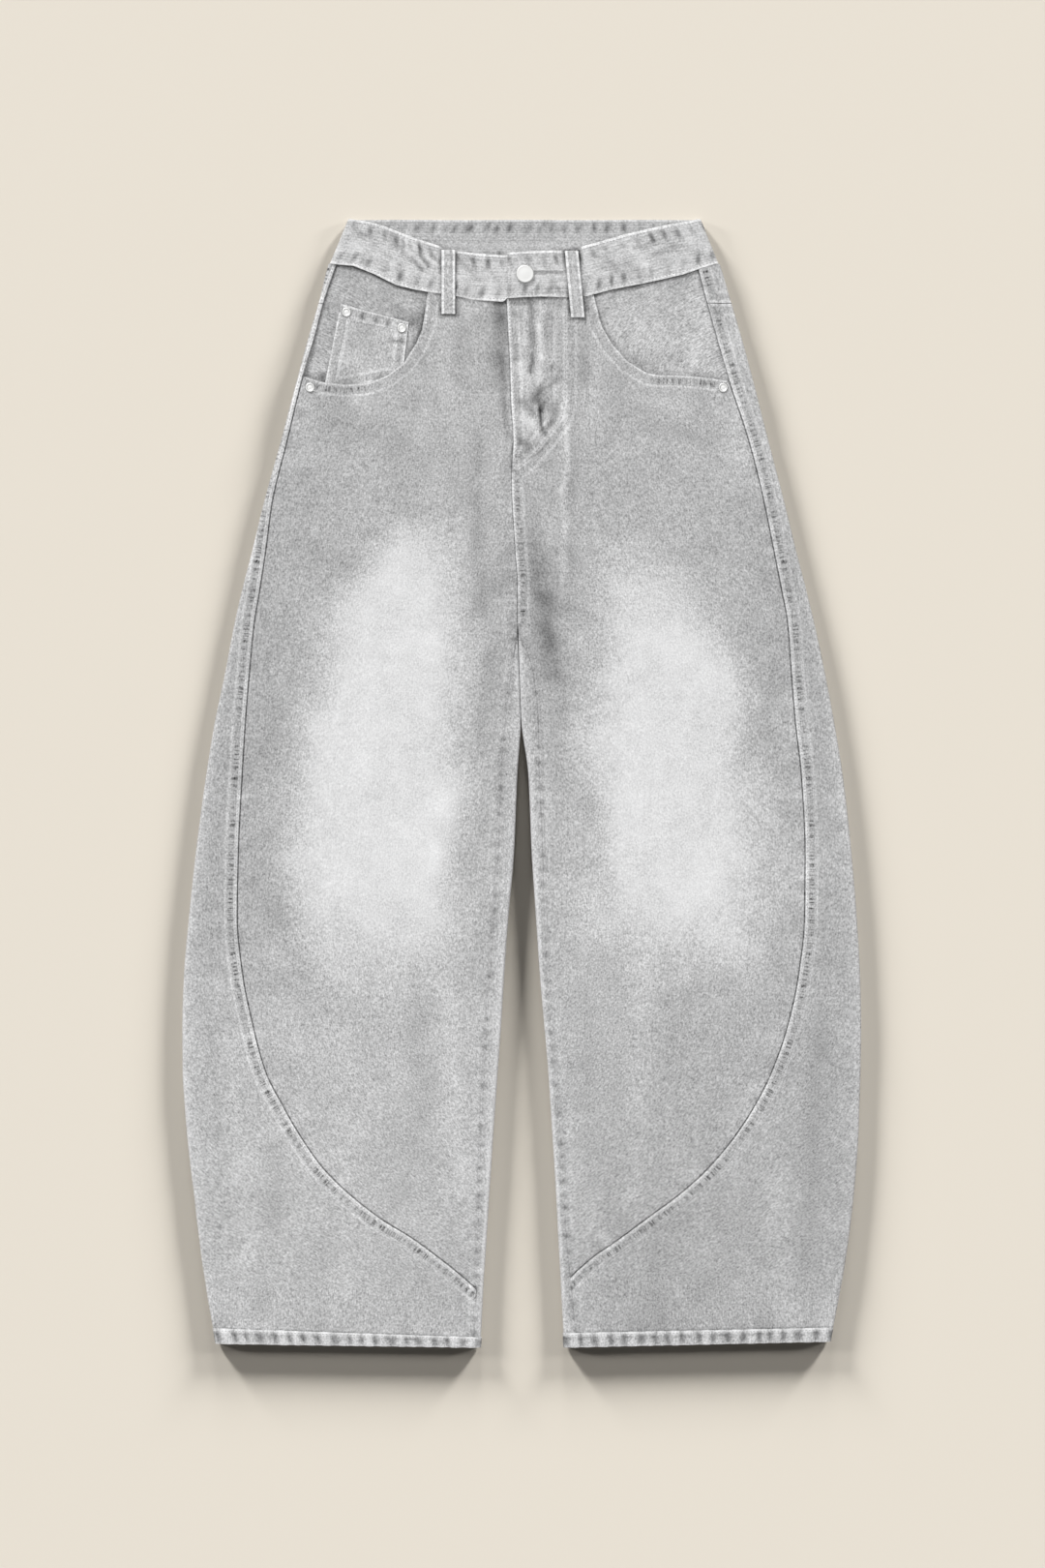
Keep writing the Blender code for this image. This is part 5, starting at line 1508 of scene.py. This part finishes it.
def make_facing(side):
    """Make the cloth that shows in a front pocket's mouth."""
    name = "pocket_facing_" + SIDE_NAMES[side]
    shares = np.linspace(0.0, 1.0, 61)
    mouth = place_along(mouth_line(side), shares)
    tucked_x, tucked_down = offset_path(mouth[:, 0], mouth[:, 1], side * -FACING_TUCK)
    foot_down = tucked_down[0]

    def seam_side(down):
        return side * (side_seam(side, down) + 0.6)

    tucked_x[0] = seam_side(foot_down)
    tucked_down[-1] = band_bottom(side, tucked_x[-1]) + 1.5
    limit = seam_side(tucked_down)
    tucked_x = np.where(side * tucked_x > side * limit, limit, tucked_x)
    tucked_down = np.maximum(tucked_down, band_bottom(side, tucked_x) + 1.5)
    corner_x = float(seam_side(46.0))
    corner_down = float(band_bottom(side, corner_x)) + 0.8
    sides = [(float(seam_side(down)), down) for down in np.linspace(foot_down - 1.0, corner_down, 12)]
    tops = [(x, float(band_bottom(side, x)) + 0.8) for x in np.linspace(corner_x, tucked_x[-1] + side, 12)]
    outer = place_along(sides + tops[1:], shares)
    across = np.linspace(0.0, 1.0, 41)[:, None]
    x = mix(tucked_x, outer[:, 0], across)
    down = mix(tucked_down, outer[:, 1], across)
    z = FACING_LEVEL + 0.3 * rough_plane(x, down, 14.0, 161)
    tone = FACING_TONE[side] + 9.0 * rough_plane(x, down, 16.0, 162) + 7.0 * rough_plane(x, down, 6.0, 163)
    tone = tone + 6.0 * rough_plane(x, 0.25 * down, 9.0, 164)
    # Painted shade under the waistband's edge and along the pocket mouth, with a strong painted shadow inside
    # the mouth's upright part.
    below = down - band_bottom(side, x)
    tone = tone - 12.0 * bell(below, 5.0) - 8.0 * bell(below, 22.0)
    tone = tone + band_painted_shadow(side, x, down)
    mouth_gap, mouth_run = near_path(x, down, mouth_line(side))
    tone = tone - 22.0 * bell(mouth_gap, 5.0)
    beside = smooth_step((down - 78.0) / 8.0) * smooth_step((124.0 - down) / 14.0) * FACING_MOUTH_SHADOW[side]
    tone = tone - 78.0 * beside * bell(mouth_gap, 2.2)
    tone = tone + uneven_lines(FACING_SHADES, x, down)
    marks = {"edge": 50.0, "run": mouth_run, "seam": 0.0, "tone": to_light(tone)}
    made, area = add_grid(name, x, down, z, marks, finish=FACING_DENIM)
    thicken(made, CLOTH)
    finish_cloth(made, name)


# Places of the coin pocket, listed one by one, in the same columns
COIN_SHADES = (
    (-120, 112, -109, 113, 1.5, -50), (-118, 106, -114, 109, 2.4, 16), (-111, 112, -113, 136, 1.6, -18),
    (-134, 148, -124, 144, 3, -22), (-172, 148, -150, 153, 3.4, -16), (-150, 120, -146, 140, 6, 8),
)


def make_coin_pocket():
    corners = np.array(COIN_CORNERS)
    u = graded(66.0, 0.6, 2.2, 6.0)[None, :, None]
    v = graded(60.0, 0.6, 2.2, 6.0)[:, None, None]
    place = mix(mix(corners[0], corners[1], u), mix(corners[3], corners[2], u), v)
    x, down = place[..., 0], place[..., 1]
    path = [tuple(corner) for corner in corners[[0, 1, 2, 3, 0]]]
    gap, run = near_path(x, down, path)
    hem_gap, hem_run = near_path(x, down, path[:2])
    hem = bell(hem_gap - 5.0, 4.0)
    relief = 0.18 * puckers(gap, run, 5.0, 6.0, 171) + 0.2 * hem * rough_line(hem_run / 6.0, 172)
    relief = relief + 0.12 * rough_plane(x, down, 16.0, 173)
    z = COIN_LEVEL + np.clip(relief, -0.3, 0.5)
    tone = 186.0 + 60.0 * relief + 8.0 * rough_plane(x, down, 13.0, 174) + 4.0 * hem
    squares = beads(hem_run, 11.0, 175) * bell(hem_gap - 6.0, 3.4)
    tone = tone - 62.0 * squares + soft_lines(COIN_SHADES, x, down)
    ticks = mix(0.35, 0.0, smooth_step((12.0 - hem_gap) / 3.0))
    marks = {"edge": gap + 1.0, "run": run, "seam": 0.85, "ticks": ticks, "tone": to_light(tone)}
    made, area = add_grid("coin_pocket", x, down, z, marks)
    thicken(made, CLOTH, 0.3)
    centre = corners.mean(axis=0)
    rows = []
    for inset in (0.06, 0.22):
        inner = mix(corners, centre, inset)
        rows += [(inner[0], inner[3]), (inner[1], inner[2])]
    for share in (0.03, 0.17):
        start, end = mix(corners[0], corners[3], share), mix(corners[1], corners[2], share)
        rows.append((mix(start, end, 0.02), mix(start, end, 0.98)))
    paths = [(*dense(row), COIN_LEVEL + CLOTH / 2 + 0.15) for row in rows]
    stitches = add_stitches("stitches_coin_pocket", paths, 2.8, 1.1, 0.3)
    finish_cloth(made, "coin_pocket", [stitches])


def make_back_pocket(side):
    name = "back_pocket_" + SIDE_NAMES[side]
    corners = [(side * out, down) for out, down in POCKET_CORNERS]
    u = graded(130.0, 0.7, 3.4, 8.0)
    v = graded(150.0, 0.7, 3.4, 8.0)[:, None]
    foot = place_along([corners[4], corners[3], corners[2]], u)
    top = place_along([corners[0], corners[1]], u)
    x = mix(top[:, 0], foot[:, 0], v)
    down = mix(top[:, 1], foot[:, 1], v)
    gap, run = near_path(x, down, corners + corners[:1])
    relief = puckers(gap, run, 6.0, 8.0, 181 + side)
    z = POCKET_CLOTH / 2 + 0.12 * np.maximum(0.0, relief)
    tone = 183.0 + 12.0 * bell(gap, 3.0) - 10.0 * relief + 5.0 * rough_plane(x, down, 24.0, 182)
    marks = {"edge": gap + 0.4, "run": run, "seam": 0.85, "ticks": 0.75, "tone": to_light(tone)}
    made, area = add_grid(name, x, down, z, marks)
    thicken(made, POCKET_CLOTH, 0.3)
    middle = np.mean(corners, axis=0)
    rows = [mix(np.array(corners[1:] + corners[:1]), middle, inset) for inset in (0.03, 0.12)]
    rows += [((side * 40.0, 132.0 + drop), (side * 162.0, 126.5 + drop)) for drop in (3.0, 16.0)]
    stitches = add_stitches("stitches_" + name, [(*dense(row), -0.05) for row in rows])
    finish_cloth(made, name, [stitches])


# Hems: the turned-up end of each leg, a flattened ring with roped lumps

def hem_surface(side, place, share):
    """Give x, down, height and lump of the hem, round the leg and down its width."""
    lower = HEM_CLOTH / 2
    radius = (TOP_LEVEL - lower) / 2
    middle = (TOP_LEVEL + lower) / 2
    start_down = mix(HEM_EDGES[side][0][0], HEM_EDGES[side][1][0], share)
    outer = leg(side, OUTLINE, start_down) - HEM_CLOTH / 2 + 0.4 - radius
    inner = inner_edge(side, start_down) - CLOTH / 2 + HEM_CLOTH / 2 - 0.4 + radius
    turned = math.pi * (place % 1.0)
    turn = (np.sin(turned), np.cos(turned))
    out = np.where(place <= 1.0, mix(outer, inner, place), inner - radius * turn[0])
    out = np.where(place >= 2.0, mix(inner, outer, place - 2.0), out)
    out = np.where(place > 3.0, outer + radius * turn[0], out)
    t = HEM_LUMPS * place + 0.12 * side * share
    t = t + 0.2 * rough_line(HEM_LUMPS * place * 0.8, 191 + side)
    lump = 0.5 - 0.5 * np.cos(2 * math.pi * t)
    lump = lump * (0.75 + 0.35 * rough_line(np.floor(t) * 1.0, 193 + side))
    on_top = place <= 1.0
    rise = HEM_LUMP_HEIGHT * lump * np.sin(math.pi * np.clip(share, 0.0, 1.0)) ** 0.5
    height = np.where(on_top, TOP_LEVEL + rise, middle + radius * turn[1])
    height = np.where(place >= 2.0, lower + 0.12 * rise, height)
    height = np.where(place > 3.0, middle - radius * turn[1], height)
    down = mix(hem_edge(side, 0, out) - 0.7, hem_edge(side, 1, out), share)
    return side * out, down, height, lump


def make_hem(side):
    name = "hem_" + SIDE_NAMES[side]
    fold = np.arange(1, 9) / 9 - 1 / 18
    places = np.concatenate([np.arange(216) / 216, 1.0 + fold, 2.0 + np.arange(72) / 72, 3.0 + fold])[None, :]
    shares = graded(HEM_HEIGHT, 0.5, 1.4, 3.0)[:, None]
    place = np.broadcast_to(places, (len(shares), places.shape[1]))
    x, down, z, lump = hem_surface(side, place, shares)
    band = np.sin(math.pi * np.clip(shares, 0.0, 1.0)) ** 0.6
    dark = np.clip(1.0 - lump, 0.0, 1.0) ** 2
    tone = HEM_TONE[side] - 78.0 * dark * band + 9.0 * rough_plane(x, down, 5.0, 195)
    across = np.broadcast_to(HEM_HEIGHT * shares, x.shape)
    worn = np.maximum(0.0, rough_plane(x, down, 5.0, 196) + 0.2)
    tone = tone - 34.0 * bell(across - 4.4, 1.5) * worn
    tone = tone + 28.0 * bell(across - 1.7, 1.2)
    marks = {"edge": across + 20.0, "run": side * x, "seam": 0.3, "ticks": 0.0, "tone": to_light(tone)}
    made, area = add_grid(name, x, down, z, marks, ring=True)
    thicken(made, HEM_CLOTH, 0.8)
    paths = []
    for ends, lift in (((0.01, 0.99), 1.0), ((2.01, 2.99), -1.0)):
        row = np.linspace(*ends, 170)
        path_x, path_down, path_z, _ = hem_surface(side, row, 0.14)
        paths.append((path_x, path_down, path_z + lift * (HEM_CLOTH / 2 + 0.08)))
    stitches = add_stitches("stitches_" + name, paths)
    finish_cloth(made, name, [stitches])


# Button and rivets, turned from a profile of radius and height

BUTTON_PROFILE = (
    (5.6, 0.0), (5.6, 1.1), (5.9, 1.4), (7.6, 1.6), (8.0, 1.8), (8.3, 2.2), (8.2, 2.6), (7.85, 2.9),
    (7.4, 3.05), (6.9, 3.06), (6.5, 3.0), (5.9, 2.97), (4.6, 3.0), (3.6, 3.05), (2.4, 3.1), (1.2, 3.13),
)
RIVET_PROFILE = (
    (4.4, 0.0), (4.45, 0.35), (4.25, 0.8), (3.85, 1.1), (3.4, 1.15), (2.9, 0.95), (2.5, 0.62),
    (2.1, 0.5), (1.5, 0.6), (0.8, 0.72),
)


def make_turned(name, x, down, base, profile):
    """Make a round metal piece that stands on a height, and closes at its axis."""
    sides = 48
    angles = 2 * math.pi * np.arange(sides) / sides
    profile = np.array(profile)
    ring_x = x + profile[:, :1] * np.cos(angles)
    ring_down = down + profile[:, :1] * np.sin(angles)
    ring_z = np.broadcast_to(base + profile[:, 1:], ring_x.shape)
    points = to_world(ring_x, ring_down, ring_z).reshape(-1, 3).tolist()
    pairs = [(i, (i + 1) % sides) for i in range(sides)]
    last = len(points) - sides
    faces = [
        [a + i, a + sides + i, a + sides + j, a + j] for a in range(0, last, sides) for i, j in pairs
    ]
    points.append(to_world(x, down, base + profile[-1, 1] + 0.02).tolist())
    points.append(to_world(x, down, base).tolist())
    for i, j in pairs:
        faces += [[last + i, last + sides, last + j], [j, last + sides + 1, i]]
    mesh = bpy.data.meshes.new(name)
    mesh.from_pydata(points, [], faces)
    made = add_object(name, mesh, METAL)
    mesh.set_sharp_from_angle(angle=math.radians(50))
    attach(made, "root")
    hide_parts(name)


def make_metal():
    base = OVERLAP_LEVEL + BAND_CLOTH / 2 + SEAM_GAP
    make_turned("waist_button", *BUTTON_PLACE, base, BUTTON_PROFILE)
    angles = math.pi * np.arange(8) / 4
    for name, (x, down, level) in RIVET_PLACES.items():
        if level is None:
            around = top_height(x + RIVET_RADIUS * np.cos(angles), down + RIVET_RADIUS * np.sin(angles))
            level = float(around.max())
        make_turned(name, x, down, level + CLOTH / 2 + SEAM_GAP, RIVET_PROFILE)


# The surface, light and camera

FLOOR_SIZE = 60.0
FLOOR_LEVEL = -0.0003
FLOOR_LIGHT = 5.15
# turn from the top of the picture, height over the horizon, share of the floor's light
LOW_LIGHTS = (
    (-70.0, 13.0, 0.10), (-36.0, 7.5, 0.36), (0.0, 7.0, 0.08), (36.0, 7.5, 0.36), (70.0, 13.0, 0.10),
)
CAMERA_PLACE = (0.0007, -0.0005, 3.4104 + TOP_LEVEL / 1000.0)


def make_surroundings():
    mesh = bpy.data.meshes.new("floor")
    corners = ((-1, -1), (1, -1), (1, 1), (-1, 1))
    mesh.from_pydata([(FLOOR_SIZE * x, FLOOR_SIZE * y, FLOOR_LEVEL) for x, y in corners], [], [[0, 1, 2, 3]])
    floor = add_object("floor", mesh, make_plain("warm paper", (0.45, 0.415, 0.36), 0.95, 0.0))
    floor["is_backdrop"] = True
    scene = bpy.context.scene
    world = bpy.data.worlds.new("soft light")
    world.use_nodes = True
    sky = world.node_tree.nodes["Background"]
    sky.inputs["Color"].default_value = (1.0, 1.0, 1.0, 1.0)
    sky.inputs["Strength"].default_value = 0.1
    scene.world = world
    floor_group = bpy.data.collections.new("surface")
    floor_group.objects.link(floor)
    cloth_group = bpy.data.collections.new("garment")
    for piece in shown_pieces():
        cloth_group.objects.link(piece)
    # name, height over the horizon, turn, softness, strength, what it lights
    lamps = [
        ("window", 36.0, -24.0, 16.0, 1.72, cloth_group),
        ("ceiling", 88.0, 0.0, 110.0, 1.93, cloth_group),
    ]
    for number, (turn, height, share) in enumerate(LOW_LIGHTS):
        strength = FLOOR_LIGHT * share / math.sin(math.radians(height))
        lamps.append((f"low light {number + 1}", height, turn, 9.0, strength, floor_group))
    for name, elevation, turn, angle, strength, lit in lamps:
        lamp = bpy.data.lights.new(name, "SUN")
        lamp.energy = strength
        lamp.angle = math.radians(angle)
        shown = bpy.data.objects.new(name, lamp)
        shown.rotation_euler = (math.radians(elevation - 90.0), 0.0, math.radians(-turn))
        shown.light_linking.receiver_collection = lit
        scene.collection.objects.link(shown)
    camera_data = bpy.data.cameras.new("camera")
    camera_data.lens = 85.0
    camera_data.sensor_fit = "VERTICAL"
    camera_data.sensor_height = 36.0
    camera_data.clip_end = 200.0
    camera = bpy.data.objects.new("camera", camera_data)
    camera.location = CAMERA_PLACE
    scene.collection.objects.link(camera)
    scene.camera = camera
    scene.view_settings.view_transform = "Standard"


for leg_side in (LEFT, RIGHT):
    make_front(leg_side)
    make_back(leg_side)
    make_yoke(leg_side)
    make_facing(leg_side)
    make_back_pocket(leg_side)
    make_front_loop(leg_side)
    make_hem(leg_side)
make_coin_pocket()
make_waistband()
for loop_name, loop_x in BACK_LOOPS.items():
    make_back_loop(loop_name, loop_x)
make_metal()
make_surroundings()
